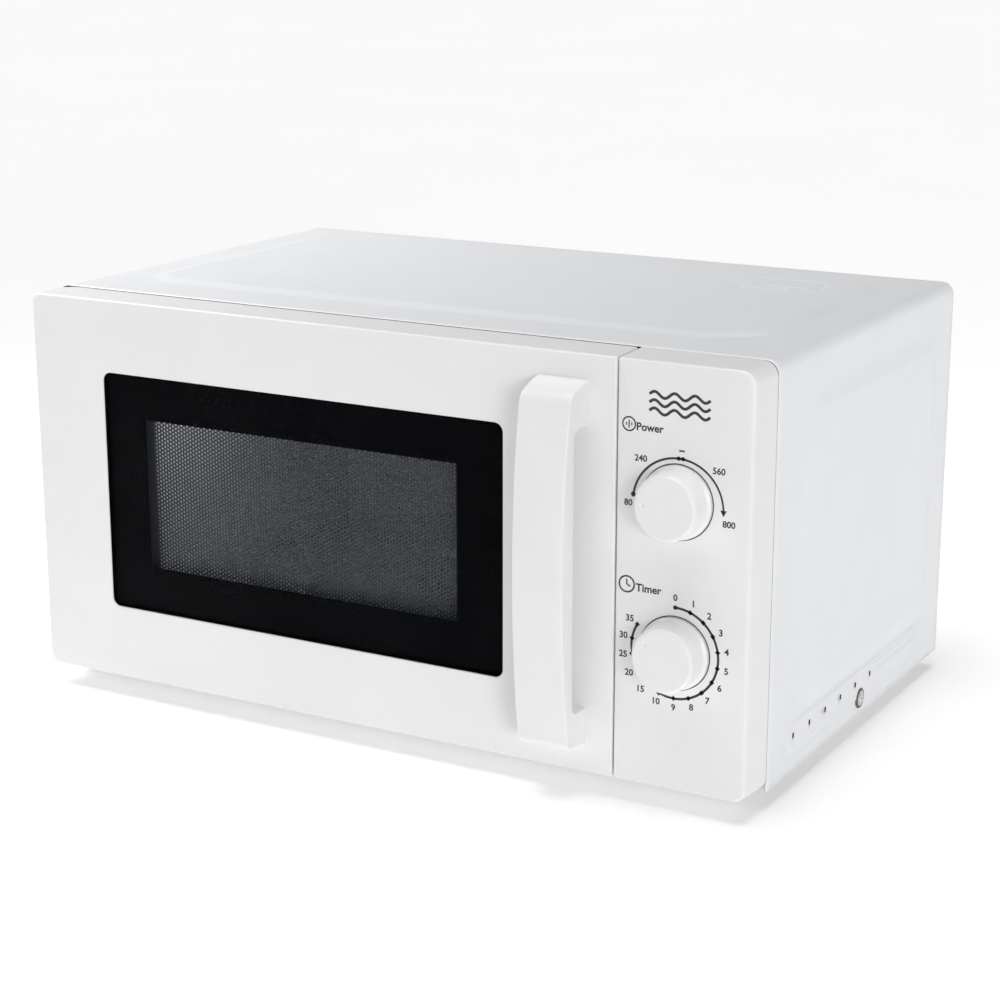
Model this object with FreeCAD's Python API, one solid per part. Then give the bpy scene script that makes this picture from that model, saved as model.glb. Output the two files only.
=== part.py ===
import FreeCAD, Part

"""Countertop microwave oven with a mechanical timer, as an assembly of separate pieces.

Millimetres. While a piece is drawn, X is to the right as seen from the front, Y runs back from the
front face and Z is up from the surface that the oven stands on. When a piece is saved, it is moved
along Y so that the origin is at the bottom centre of the whole oven's bounding box.
"""

import math
import os

V = FreeCAD.Vector
X_AXIS = V(1, 0, 0)
Y_AXIS = V(0, 1, 0)
Z_AXIS = V(0, 0, 1)
FAR = 400.0                 # further than any piece reaches
OVER = 1.0                  # how far a cutting solid runs past what it cuts

# ---- driving dimensions of the whole oven ----
WIDTH = 452.0
CABINET_BOTTOM = 11.0
CABINET_TOP = 237.0
CABINET_BACK = 288.0
FRONT_DEPTH = 24.6          # thickness of the door and of the control panel
FACE_BOTTOM = 13.0          # lower edge of the front face
FACE_TOP = 236.0            # upper edge of the front face
FACE_DRAFT = 1.5            # how much narrower the front face is than the cabinet, at the right
FRONT_CORNER = 6.0
SEAM_X = 150.1              # middle of the gap between the door and the control panel
SEAM_GAP = 1.0
HANDLE_REACH = 27.5         # how far the handle stands out of the front face
GLAND_REACH = 4.0           # how far the cord gland stands out of the back
HALF = WIDTH / 2
ORIGIN_SHIFT = (HANDLE_REACH - CABINET_BACK - GLAND_REACH) / 2

# ---- sheet metal ----
SHEET = 0.8
PLATE = 1.0
FIT_GAP = 0.2               # between a panel and the sheet that it lies inside
WRAP_CORNER = 7.0
REAR_LIP = 9.0
EMBOSS = 1.5                # height of the pressed panels
EMBOSS_SLOPE = 8.0
TOP_EMBOSS = (-199.0, 199.0, 58.0, 262.0, 28.0)     # left, right, front, back, corner radius
SIDE_EMBOSS = (58.0, 262.0, 46.0, 212.0, 18.0)      # front, back, bottom, top, corner radius
SIDE_SLOT = (59.0, 22.5, 6, 31.0)                   # first Y, pitch, how many, Z
SIDE_SLOT_SIZE = (2.0, 3.6)
SIDE_SCREW = (157.0, 20.8)                          # Y, Z
REAR_SCREWS = [(x, 232.5) for x in (-150.0, 0.0, 150.0)]
REAR_SCREWS += [(x, z) for x in (-221.3, 221.3) for z in (60.0, 180.0)]
SCREW_CLEARANCE_R = 2.2
SCREW_SHANK_R = 1.8
SCREW_LENGTH = 7.0
PANEL_HALF = HALF - SHEET - FIT_GAP
BASE_Z = CABINET_BOTTOM + PLATE                     # underside of the base plate
BASE_RIM = 16.0
REAR_PANEL_Y = CABINET_BACK - SHEET - PLATE         # front of the rear panel
GLAND = (200.0, 106.0)                              # X, Z
GLAND_R = 8.0
GLAND_BORE_R = 4.0
FOOT_X = 188.0
FOOT_Y = (62.0, 258.0)
FOOT_R = 9.0
FOOT_STEM_R = 4.0

# ---- oven cavity (inner sizes) and front plate ----
CAVITY_LEFT = -192.0
CAVITY_RIGHT = 108.0
CAVITY_FLOOR = 36.0
CAVITY_ROOF = 216.0
PLATE_FRONT = 25.2          # front plate round the cavity's mouth
CAVITY_FRONT = PLATE_FRONT + PLATE
CAVITY_BACK = 276.0
PORT = (112.0, 196.0, 122.0, 168.0)                 # front, back, bottom, top of the waveguide port
VENT_HOLE_R = 1.5
VENT_PITCH = 5.0
VENT_ROWS = 3
VENT_COLUMNS = 6
LAMP_VENT_Y = 222.0
OUTLET_VENT_Y = 62.0
VENT_Z = 188.0
BAY = CAVITY_RIGHT + SHEET                          # where the component bay begins

# ---- turntable ----
TRAY_X = (CAVITY_LEFT + CAVITY_RIGHT) / 2
TRAY_Y = (CAVITY_FRONT + CAVITY_BACK) / 2
ROLLER_R = 7.0
ROLLER_WIDTH = 6.0
ROLLER_TRACK = 97.0         # distance of the rollers from the turntable's axis
ROLLER_ANGLES = (90, 210, 330)
ROLL_GAP = 0.3
AXLE_R = 2.0
RUNNING = 0.05              # radial clearance of a shaft in its bore
RING_R = (84.0, 90.0)
RING_THICK = 4.0
TRAY_R = 118.0
TRAY_THICK = 4.0
TRAY_RISE = 7.0
ROLLER_Z = CAVITY_FLOOR + ROLL_GAP + ROLLER_R
TRAY_UNDER = ROLLER_Z + ROLLER_R + ROLL_GAP
SHAFT_HOLE_R = 8.0
HUB_R = 9.0
LOBE_REACH = 19.0
MOTOR_R = 24.0

# ---- door ----
DOOR_WALL = 2.5
DOOR_RIGHT = SEAM_X - SEAM_GAP / 2
DOOR_BACK = 23.6
HINGE_X = -217.0
HINGE_Y = 12.0
HINGE_PIN_R = 3.0
HINGE_PIN = 13.0
HINGE_TAB = 1.6             # thickness of a hinge bracket
HINGE_TAB_HALF = 4.5
HINGE_FOOT = 10.0
HINGE_ROUND = 10.0          # radius of the door's rear corner at the hinge
HINGE_SWEEP = 11.7          # no part of the door's rear corner is further from the pin
LOWER_TAB_Z = 20.0
UPPER_TAB_Z = 224.0
GLASS = (-176.0, 84.5, 56.0, 194.6)                 # left, right, bottom, top of the window glass
GLASS_CORNER = 5.0
GLASS_FRONT = 0.3
GLASS_THICK = 3.0
GLASS_LEDGE = 6.0
SCREEN = (-147.0, 57.0, 82.5, 170.5)                # perforated part of the screen
PAN = (-206.0, 128.0, 24.0, 226.0)
PAN_WELL = (-158.0, 68.0, 72.0, 182.0)
PAN_SCREEN_Y = 11.0
PAN_FLANGE_Y = 20.2
PAN_LIP_Y = 12.0
CHOKE_COVER = (-208.0, 145.6, 16.8, 232.4)
CHOKE_COVER_FRONT = 21.2
LATCH_BAR = (133.5, 140.5, 12.0, 16.0)              # left, right, front, back of the sliding bar
LATCH_Z = (60.0, 178.0)     # underside of each hook's arm
LATCH_SLOT_X = (131.0, 144.0)
LATCH_TRAVEL = 3.0
HOOK_HEIGHT = 8.0
HOOK_NOSE = 4.0
HOOK_Y = (32.0, 38.0)
LATCH_TAIL = 6.0
SPRING_R = (1.8, 2.6)
SPRING_FOOT_Z = 30.0

# ---- handle ----
HANDLE_LEFT = 105.0
HANDLE_RIGHT = 134.3
HANDLE_TOP = 223.0
HANDLE_BOTTOM = 28.5
HANDLE_SEAT = 0.05          # clearance between the handle and the door
BAR_BACK = -15.0
BAR_ENDS = (36.0, 210.0)    # height of the lower and upper end of the bar's front arc
BAR_END_REACH = 20.5
GAP_BOTTOM = 48.5
GAP_TOP = 199.5
GAP_ROUND = 6.0
HANDLE_X = (HANDLE_LEFT + HANDLE_RIGHT) / 2
HANDLE_SCREW_Z = (38.0, 211.0)
HANDLE_SCREW_R = 1.6
HANDLE_SCREW_DEPTH = 9.5

# ---- controls ----
KNOB_X = 184.3
POWER_Z = 166.0
TIMER_Z = 87.0
KNOB_R = 17.0
KNOB_BASE_R = 19.5
KNOB_DEPTH = 16.0
KNOB_GAP = 0.6
KNOB_WALL = 2.5
KNOB_HUB_R = 5.5
KNOB_BORE = 13.0            # how far a shaft reaches into its knob
SHAFT_R = 3.0
SHAFT_END = 47.0
PANEL_HOLE_R = 5.0
BUSH_R = 6.5
BUSH_REACH = 8.0
UNIT_Y = CAVITY_FRONT + PLATE                       # front of the power unit and the timer unit
BELL_Z = TIMER_Z - 47.0
BELL_R = 13.0

# ---- microwave source ----
WAVEGUIDE_X = 135.0
WAVEGUIDE_RIM = 8.0
TUBE_Y = 154.0
TUBE_Z = 145.0
ANTENNA_R = 8.0
ANODE_R = 19.0
MAGNET_R = 27.0
MAGNET = 9.0
YOKE = (WAVEGUIDE_X + FIT_GAP, 196.0, 110.0, 198.0, 105.0, 187.0)
YOKE_SHEET = 1.6
FIN = 0.7
FIN_COUNT = 8
FILTER_BOX = (24.0, 26.0, 24.0)                     # depth, half length, half height

# ---- high-voltage pieces ----
CORE = (120.0, 212.0, 118.0, 188.0)                 # left, right, front, back of the core
CORE_Z = CABINET_BOTTOM + 2 * PLATE
CORE_HEIGHT = 72.0
CORE_LIMB = 15.0
CORE_YOKE = 14.0
COIL_OVERHANG = 13.0
CAPACITOR = (124.0, 176.0, 206.0, 238.0)
CAPACITOR_TOP = 100.0
TERMINAL_INSET = 16.0
TERMINAL_HEIGHT = 13.0
DIODE_Z = 70.0
LEAD_R = 1.2
LEAD_SHARE = 0.45           # share of the shorter run that a bend takes up
LEAD_RISE = 27.0            # how far a lead rises from the capacitor before it turns

# ---- cooling fan, lamp and filter board ----
FAN_X = 168.0
FAN_Z = 176.0
FAN_R = 43.0
FAN_SHAFT_R = 2.0
FAN_BLADES = 7
FAN_PITCH = 32.0
FAN_PLATE_Y = 250.0
FAN_PLATE = 1.6
FAN_PLATE_HALF = 54.0
LAMP_Y = 226.0
LAMP_Z = 197.0
BULB_R = 6.0
BOARD = (182.0, 220.0, 26.0, 88.0)                  # left, right, bottom, top
BOARD_STANDOFF = 10.0
FUSE_R = 2.6


def box(x0, x1, y0, y1, z0, z1):
    """Block between two corners."""
    return Part.makeBox(x1 - x0, y1 - y0, z1 - z0, V(x0, y0, z0))


def rod(radius, centre, axis, length):
    """Cylinder that starts at a point and runs along an axis."""
    return Part.makeCylinder(radius, length, V(*centre), axis)


def pipe(outer, inner, centre, axis, length):
    """Tube: a cylinder with a bore right through."""
    return rod(outer, centre, axis, length).cut(rod(inner, centre, axis, length))


def face_of(points, arcs=None):
    """Flat face from corner points; arcs maps an edge's index to the point its arc goes through."""
    arcs = arcs or {}
    edges = []
    for index, start in enumerate(points):
        end = points[(index + 1) % len(points)]
        if index in arcs:
            edges.append(Part.Arc(V(*start), V(*arcs[index]), V(*end)).toShape())
        else:
            edges.append(Part.LineSegment(V(*start), V(*end)).toShape())
    return Part.Face(Part.Wire(edges))


def rounded_wire(left, right, bottom, top, radius, y):
    """Rectangle in a plane across Y, with round corners."""
    inset = radius * (1 - math.sqrt(0.5))
    points = []
    arcs = {}
    corners = ((left, bottom, 1, 1), (right, bottom, -1, 1), (right, top, -1, -1), (left, top, 1, -1))
    for index, (x, z, sx, sz) in enumerate(corners):
        along = (x + sx * radius, y, z)
        up = (x, y, z + sz * radius)
        points += [up, along] if index in (0, 2) else [along, up]
        arcs[2 * index] = (x + sx * inset, y, z + sz * inset)
    return face_of(points, arcs).OuterWire


def rounded_plate(left, right, bottom, top, radius, y0, y1):
    """Plate with round corners, from y0 to y1."""
    wire = rounded_wire(left, right, bottom, top, radius, y0)
    return Part.Face(wire).extrude(V(0, y1 - y0, 0))


def fuse(shapes):
    """All the shapes joined into one."""
    joined = shapes[0]
    for shape in shapes[1:]:
        joined = joined.fuse(shape)
    return joined.removeSplitter()


def turned(shape, centre, axis, angle):
    """Copy of a shape, turned about an axis."""
    copy = shape.copy()
    copy.rotate(V(*centre), axis, angle)
    return copy


def save(name, *shapes):
    """Moves a node's solids into the oven's own frame and writes them."""
    solids = [solid for shape in shapes for solid in shape.translated(V(0, ORIGIN_SHIFT, 0)).Solids]
    whole = solids[0] if len(solids) == 1 else Part.makeCompound(solids)
    valid = all(solid.isValid() for solid in solids)
    whole.exportStep("parts/" + name + ".step")
    print(f"{name}: {len(solids)} solid(s), {'valid' if valid else 'NOT VALID'}")


# ---- cabinet ----

def pressed_panel(u0, u1, v0, v1, corner, depth):
    """Raised panel as a loft from its outline to a smaller one, drawn in the XZ plane."""
    slope = EMBOSS_SLOPE
    low = rounded_wire(u0, u1, v0, v1, corner, 0)
    high = rounded_wire(u0 + slope, u1 - slope, v0 + slope, v1 - slope, corner - slope, depth)
    return Part.makeLoft([low, high], True, True)


def top_panel(z):
    """Raised panel of the cabinet's top, standing on height z."""
    panel = turned(pressed_panel(*TOP_EMBOSS, -EMBOSS), (0, 0, 0), X_AXIS, -90)
    return panel.translated(V(0, 0, z))


def side_panel(side, x):
    """Raised panel of one side of the cabinet; side is +1 on the right."""
    panel = turned(pressed_panel(*SIDE_EMBOSS, -side * EMBOSS), (0, 0, 0), Z_AXIS, 90)
    return panel.translated(V(side * x, 0, 0))


def bent_cover(inset, y0, y1, bottom):
    """Upside-down U prism with rounded top corners, drawn an inset inside the wrap's outside."""
    side = HALF - inset
    top = CABINET_TOP - inset
    radius = max(WRAP_CORNER - inset, OVER)
    k = radius * (1 - math.sqrt(0.5))
    points = [(-side, y0, bottom), (-side, y0, top - radius), (-side + radius, y0, top),
              (side - radius, y0, top), (side, y0, top - radius), (side, y0, bottom)]
    arcs = {1: (-side + k, y0, top - k), 3: (side - k, y0, top - k)}
    return face_of(points, arcs).extrude(V(0, y1 - y0, 0))


def make_outer_wrap():
    """Top and both sides of the cabinet, folded from one sheet, with pressed panels and a rear lip."""
    front = FRONT_DEPTH + FIT_GAP
    outer = bent_cover(0, front, CABINET_BACK, CABINET_BOTTOM)
    inner = bent_cover(SHEET, front - OVER, CABINET_BACK - SHEET, CABINET_BOTTOM - OVER)
    rear_mouth = bent_cover(REAR_LIP, CABINET_BACK - 2, CABINET_BACK + OVER, CABINET_BOTTOM - OVER)
    outside = [outer, top_panel(CABINET_TOP), side_panel(1, HALF), side_panel(-1, HALF)]
    inside = [inner, top_panel(CABINET_TOP - SHEET), side_panel(1, HALF - SHEET),
              side_panel(-1, HALF - SHEET)]
    wrap = fuse(outside).cut(fuse(inside)).cut(rear_mouth)
    first, pitch, count, z = SIDE_SLOT
    half_y, half_z = (size / 2 for size in SIDE_SLOT_SIZE)
    for index in range(count):
        y = first + pitch * index
        wrap = wrap.cut(box(-FAR, FAR, y - half_y, y + half_y, z - half_z, z + half_z))
    wrap = wrap.cut(rod(SCREW_CLEARANCE_R, (-FAR, *SIDE_SCREW), X_AXIS, 2 * FAR))
    for x, z in REAR_SCREWS:
        wrap = wrap.cut(rod(SCREW_CLEARANCE_R, (x, CABINET_BACK - 3, z), Y_AXIS, 6))
    save("outer_wrap", wrap)


def make_base_plate():
    """Bottom tray of the cabinet, with turned-up sides that the wrap is screwed to, and air slots."""
    y0, y1 = CAVITY_FRONT, REAR_PANEL_Y - FIT_GAP
    tray = box(-PANEL_HALF, PANEL_HALF, y0, y1, BASE_Z, BASE_Z + BASE_RIM)
    hollow = box(-PANEL_HALF + PLATE, PANEL_HALF - PLATE, y0 - OVER, y1 + OVER, BASE_Z + PLATE, FAR)
    plate = tray.cut(hollow)
    for x in (-FOOT_X, FOOT_X):
        for y in FOOT_Y:
            plate = plate.cut(rod(FOOT_STEM_R, (x, y, BASE_Z - OVER), Z_AXIS, 4))
    for row in range(2):
        for column in range(7):
            x = -180.0 + 22.0 * column
            y = 120.0 + 50.0 * row
            plate = plate.cut(box(x, x + 4, y, y + 30, 0, BASE_Z + 3))
    save("base_plate", plate.cut(rod(SCREW_SHANK_R, (-FAR, *SIDE_SCREW), X_AXIS, 2 * FAR)))


def make_rear_panel():
    """Back sheet with the fan's intake slots, the air outlet and the hole for the cord gland."""
    y0, y1 = REAR_PANEL_Y, REAR_PANEL_Y + PLATE
    top = CABINET_TOP - SHEET - FIT_GAP
    notch = WRAP_CORNER + OVER
    panel = box(-PANEL_HALF, PANEL_HALF, y0, y1, BASE_Z, top)
    for x in (-PANEL_HALF, PANEL_HALF):
        panel = panel.cut(box(x - notch, x + notch, y0 - OVER, y1 + OVER, top - notch, FAR))
    for row in range(6):
        for column in range(4):
            x = FAN_X - 42 + 21.5 * column
            z = FAN_Z - 36 + 13.0 * row
            panel = panel.cut(box(x, x + 18, y0 - OVER, y1 + OVER, z, z + 4))
    for column in range(9):
        x = -170.0 + 14.0 * column
        panel = panel.cut(box(x, x + 5, y0 - OVER, y1 + OVER, 150, 190))
    panel = panel.cut(rod(GLAND_R + 0.1, (GLAND[0], y0 - OVER, GLAND[1]), Y_AXIS, 4))
    for x, z in REAR_SCREWS:
        panel = panel.cut(rod(SCREW_SHANK_R, (x, y0 - OVER, z), Y_AXIS, 4))
    save("rear_panel", panel)


def make_cord_gland():
    """Inlet for a mains lead: a flanged bush held in the rear panel by its nut."""
    x, z = GLAND
    inside = 8.0
    length = CABINET_BACK + GLAND_REACH - REAR_PANEL_Y + inside
    bush = rod(GLAND_R, (x, REAR_PANEL_Y - inside, z), Y_AXIS, length)
    flange = rod(GLAND_R + 3, (x, REAR_PANEL_Y + PLATE, z), Y_AXIS, SHEET + 1.6)
    nut = rod(GLAND_R + 2.5, (x, REAR_PANEL_Y - 4, z), Y_AXIS, 4)
    bore = rod(GLAND_BORE_R, (x, REAR_PANEL_Y - inside - OVER, z), Y_AXIS, length + 2 * OVER)
    save("cord_gland", fuse([bush, flange, nut]).cut(bore))


def make_feet():
    """Four rubber feet, each with a stem through the base plate."""
    feet = []
    for x in (-FOOT_X, FOOT_X):
        for y in FOOT_Y:
            pad = Part.makeCone(FOOT_R - 1.2, FOOT_R, BASE_Z, V(x, y, 0), Z_AXIS)
            feet.append(pad.fuse(rod(FOOT_STEM_R, (x, y, BASE_Z), Z_AXIS, 4)))
    save("feet", *feet)


def screw(point, axis, head_r, head):
    """Flanged screw: its head stands out along the axis, its shank runs the other way."""
    return rod(head_r, point, axis, head).fuse(rod(SCREW_SHANK_R, point, axis * -1, SCREW_LENGTH))


def make_case_screws():
    """Screws that hold the wrap: one low on each side, the rest along the back's lip."""
    screws = [screw((side * HALF, *SIDE_SCREW), X_AXIS * side, 4.7, 1.2) for side in (-1, 1)]
    screws += [screw((x, CABINET_BACK, z), Y_AXIS, 3.6, 1.6) for x, z in REAR_SCREWS]
    save("case_screws", *screws)


# ---- oven cavity and its front plate ----

def make_oven_cavity():
    """Five-walled steel box, open at the front, with the waveguide port, air holes and a shaft hole."""
    outer = box(CAVITY_LEFT - SHEET, BAY, CAVITY_FRONT, CAVITY_BACK + SHEET,
                CAVITY_FLOOR - SHEET, CAVITY_ROOF + SHEET)
    inner = box(CAVITY_LEFT, CAVITY_RIGHT, CAVITY_FRONT - OVER, CAVITY_BACK, CAVITY_FLOOR, CAVITY_ROOF)
    cavity = outer.cut(inner).cut(box(CAVITY_RIGHT - OVER, BAY + OVER, *PORT))
    cavity = cavity.cut(rod(SHAFT_HOLE_R, (TRAY_X, TRAY_Y, CAVITY_FLOOR - 3), Z_AXIS, 6))
    for row in range(VENT_ROWS):
        for column in range(VENT_COLUMNS):
            z = VENT_Z + VENT_PITCH * row
            for wall, first in ((CAVITY_RIGHT, LAMP_VENT_Y), (CAVITY_LEFT - SHEET, OUTLET_VENT_Y)):
                hole = (wall - OVER, first + VENT_PITCH * column, z)
                cavity = cavity.cut(rod(VENT_HOLE_R, hole, X_AXIS, 3))
    save("oven_cavity", cavity)


def make_front_plate():
    """Steel plate round the cavity's mouth: it carries the hinges, the latch frame and the controls."""
    y0, y1 = PLATE_FRONT, CAVITY_FRONT
    window = 22.0
    plate = box(-PANEL_HALF, PANEL_HALF, y0, y1, BASE_Z, CABINET_TOP - SHEET - WRAP_CORNER)
    cutters = [box(CAVITY_LEFT, CAVITY_RIGHT, y0 - OVER, y1 + OVER, CAVITY_FLOOR, CAVITY_ROOF)]
    for z in (POWER_Z, TIMER_Z):
        cutters.append(box(KNOB_X - window, KNOB_X + window, y0 - OVER, y1 + OVER, z - window, z + window))
    for z in LATCH_Z:
        cutters.append(box(*LATCH_SLOT_X, y0 - OVER, y1 + OVER, z - HOOK_NOSE - 0.6,
                           z + HOOK_HEIGHT + LATCH_TRAVEL + OVER))
    for cutter in cutters:
        plate = plate.cut(cutter)
    save("front_plate", plate)


def make_hinge(name, tab_z, pin_up):
    """Hinge bracket on the front plate: a tab that reaches into the door's end, with its pin."""
    x0, x1 = HINGE_X - HINGE_TAB_HALF, HINGE_X + HINGE_TAB_HALF
    tab = box(x0, x1, HINGE_Y, PLATE_FRONT, tab_z, tab_z + HINGE_TAB)
    eye = rod(HINGE_TAB_HALF, (HINGE_X, HINGE_Y, tab_z), Z_AXIS, HINGE_TAB)
    foot_z = tab_z if pin_up else tab_z - HINGE_FOOT
    foot = box(x0, x1, PLATE_FRONT - HINGE_TAB, PLATE_FRONT, foot_z, foot_z + HINGE_TAB + HINGE_FOOT)
    pin_z = tab_z if pin_up else tab_z + HINGE_TAB - HINGE_PIN
    pin = rod(HINGE_PIN_R, (HINGE_X, HINGE_Y, pin_z), Z_AXIS, HINGE_PIN)
    save(name, fuse([tab, eye, foot, pin]))


# ---- microwave source ----

def make_waveguide():
    """Folded duct on the cavity's right wall, from the magnetron's antenna to the port."""
    wall = 4.0
    y0, y1, z0, z1 = PORT[0] - wall, PORT[1] + wall, PORT[2] - wall, PORT[3] + wall
    rim = WAVEGUIDE_RIM
    shell = box(BAY, WAVEGUIDE_X, y0, y1, z0, z1)
    flange = box(BAY, BAY + SHEET, y0 - rim, y1 + rim, z0 - rim, z1 + rim)
    hollow = box(BAY - OVER, WAVEGUIDE_X - SHEET, y0 + SHEET, y1 - SHEET, z0 + SHEET, z1 - SHEET)
    port = rod(ANTENNA_R + 2, (WAVEGUIDE_X - 3, TUBE_Y, TUBE_Z), X_AXIS, 6)
    save("waveguide", fuse([shell, flange]).cut(hollow).cut(port))


def make_waveguide_cover():
    """Mica sheet over the port, on the cavity's side."""
    y0, y1, z0, z1 = PORT
    edge = 6.0
    save("waveguide_cover", box(CAVITY_RIGHT - 0.6, CAVITY_RIGHT, y0 - edge, y1 + edge, z0 - edge, z1 + edge))


def make_magnetron():
    """Magnetron: open yoke, two ring magnets, cooling fins, anode with antenna, and filter box."""
    x0, x1, y0, y1, z0, z1 = YOKE
    t = YOKE_SHEET
    anode_x0 = x0 + t + MAGNET
    anode_x1 = x1 - t - MAGNET
    passage = rod(ANTENNA_R + 2, (x0 - OVER, TUBE_Y, TUBE_Z), X_AXIS, x1 - x0 + 2 * OVER)
    yoke = box(*YOKE).cut(box(x0 + t, x1 - t, y0 - OVER, y1 + OVER, z0 + t, z1 - t))
    save("magnetron_yoke", yoke.cut(passage))
    save("magnetron_magnets", *[pipe(MAGNET_R, ANTENNA_R + 2, (x, TUBE_Y, TUBE_Z), X_AXIS, MAGNET)
                                for x in (x0 + t, anode_x1)])
    antenna_x = CAVITY_RIGHT + 8
    stem_x = x1 + 6
    anode = rod(ANODE_R, (anode_x0, TUBE_Y, TUBE_Z), X_AXIS, anode_x1 - anode_x0)
    core = rod(ANTENNA_R, (antenna_x, TUBE_Y, TUBE_Z), X_AXIS, stem_x - antenna_x)
    save("magnetron_anode", fuse([anode, core]))
    pitch = (anode_x1 - anode_x0 - 2 * OVER - FIN) / (FIN_COUNT - 1)
    fins = []
    for index in range(FIN_COUNT):
        x = anode_x0 + OVER + pitch * index
        fin = box(x, x + FIN, y0 + 4, y1 - 4, z0 + t, z1 - t)
        fins.append(fin.cut(rod(ANODE_R, (x - OVER, TUBE_Y, TUBE_Z), X_AXIS, 3)))
    save("magnetron_fins", *fins)
    depth, half_y, half_z = FILTER_BOX
    shell = box(x1, x1 + depth, TUBE_Y - half_y, TUBE_Y + half_y, TUBE_Z - half_z, TUBE_Z + half_z)
    inner_y, inner_z = half_y - PLATE, half_z - PLATE
    hollow = box(x1 - OVER, x1 + depth - PLATE, TUBE_Y - inner_y, TUBE_Y + inner_y,
                 TUBE_Z - inner_z, TUBE_Z + inner_z)
    save("magnetron_filter_box", shell.cut(hollow))


# ---- high-voltage pieces ----

def make_transformer():
    """High-voltage transformer: laminated core, two windings round its middle limb, and bolts."""
    x0, x1, y0, y1 = CORE
    z0, z1 = CORE_Z, CORE_Z + CORE_HEIGHT
    middle = (x0 + x1) / 2
    split = (z0 + z1) / 2
    core = box(*CORE, z0, z1)
    for low, high in ((x0 + CORE_LIMB, middle - CORE_LIMB), (middle + CORE_LIMB, x1 - CORE_LIMB)):
        core = core.cut(box(low, high, y0 - OVER, y1 + OVER, z0 + CORE_YOKE, z1 - CORE_YOKE))
    save("transformer_core", core)
    windings = []
    limb = box(middle - CORE_LIMB - 0.4, middle + CORE_LIMB + 0.4, y0 - 0.4, y1 + 0.4, z0, z1)
    for low, high in ((z0 + CORE_YOKE + OVER, split - OVER), (split + OVER, z1 - CORE_YOKE - OVER)):
        coil = box(x0 + CORE_LIMB + OVER, x1 - CORE_LIMB - OVER, y0 - COIL_OVERHANG, y1 + COIL_OVERHANG,
                   low, high)
        windings.append(coil.cut(limb))
    save("transformer_windings", *windings)
    lugs = []
    for side, x in ((-1, x0), (1, x1)):
        for y in (y0 + 12, y1 - 12):
            centre = x + side * 5
            washer = box(centre - 5, centre + 5, y - 6, y + 6, z0, z0 + 2)
            lugs.append(washer.fuse(rod(3.0, (centre, y, z0 + 2), Z_AXIS, 4)))
    save("transformer_bolts", *lugs)


def oval(inset, z0, z1):
    """Upright prism with half-round ends: the capacitor's can, or smaller by an inset."""
    x0, x1, y0, y1 = CAPACITOR
    x0, x1, y0, y1 = x0 + inset, x1 - inset, y0 + inset, y1 - inset
    r = (y1 - y0) / 2
    middle = (y0 + y1) / 2
    points = [(x0 + r, y0, z0), (x1 - r, y0, z0), (x1 - r, y1, z0), (x0 + r, y1, z0)]
    return face_of(points, {1: (x1, middle, z0), 3: (x0, middle, z0)}).extrude(V(0, 0, z1 - z0))


def make_capacitor():
    """High-voltage capacitor with two terminals, its clamp, and the diode beside it."""
    x0, x1, y0, y1 = CAPACITOR
    middle = (y0 + y1) / 2
    top = CAPACITOR_TOP
    can = [oval(0, CORE_Z, top)]
    for x in (x0 + TERMINAL_INSET, x1 - TERMINAL_INSET):
        can.append(rod(4.0, (x, middle, top), Z_AXIS, 5))
        can.append(box(x - 3, x + 3, middle - 0.4, middle + 0.4, top + 5, top + TERMINAL_HEIGHT))
    save("hv_capacitor", fuse(can))
    band = oval(-PLATE, 40, 58)
    tab = box(x1 - 2, x1 + 14, middle - 6, middle + 6, 40, 40 + PLATE)
    leg = box(x1 + 13, x1 + 14, middle - 6, middle + 6, CORE_Z, 40 + PLATE)
    foot = box(x1 + 13, x1 + 24, middle - 6, middle + 6, CORE_Z, CORE_Z + PLATE)
    save("capacitor_clamp", fuse([band, tab, leg, foot]).cut(oval(0, 30, 60)))
    x = x1 + 10
    body = rod(3.5, (x, middle - 10, DIODE_Z), Y_AXIS, 16)
    wire = rod(0.6, (x, middle - 18, DIODE_Z), Y_AXIS, 30.4)
    eye = pipe(4.0, 2.0, (x - 0.8, middle + 15, DIODE_Z), X_AXIS, 1.6)
    save("hv_diode", fuse([body, wire, eye]))


def lead(points):
    """Wire of the loom: straight runs through the points, joined by tangent arcs, as a round tube."""
    corners = [V(*point) for point in points]
    edges = []
    radii = []
    start = corners[0]
    for before, corner, after in zip(corners, corners[1:], corners[2:]):
        shorter = min((corner - before).Length, (after - corner).Length)
        to_corner = (corner - before).normalize()
        from_corner = (after - corner).normalize()
        half_turn = to_corner.getAngle(from_corner) / 2
        trim = LEAD_SHARE * shorter
        radius = trim / math.tan(half_turn)
        arc_end = corner + from_corner * trim
        inward = (from_corner - to_corner).normalize()
        centre = corner + inward * (radius / math.cos(half_turn))
        edges.append(Part.LineSegment(start, corner - to_corner * trim).toShape())
        edges.append(Part.Arc(corner - to_corner * trim, centre - inward * radius, arc_end).toShape())
        radii.append(radius)
        start = arc_end
    edges.append(Part.LineSegment(start, corners[-1]).toShape())
    path = Part.Wire(edges)
    section = Part.Wire(Part.makeCircle(LEAD_R, corners[0], corners[1] - corners[0]))
    tube = path.makePipeShell([section], True, False)
    share = tube.Volume / (math.pi * LEAD_R ** 2 * path.Length)
    print(f"lead {path.Length:.0f} mm long, smallest bend {min(radii):.1f} mm, volume share {share:.3f}")
    return tube


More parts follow.
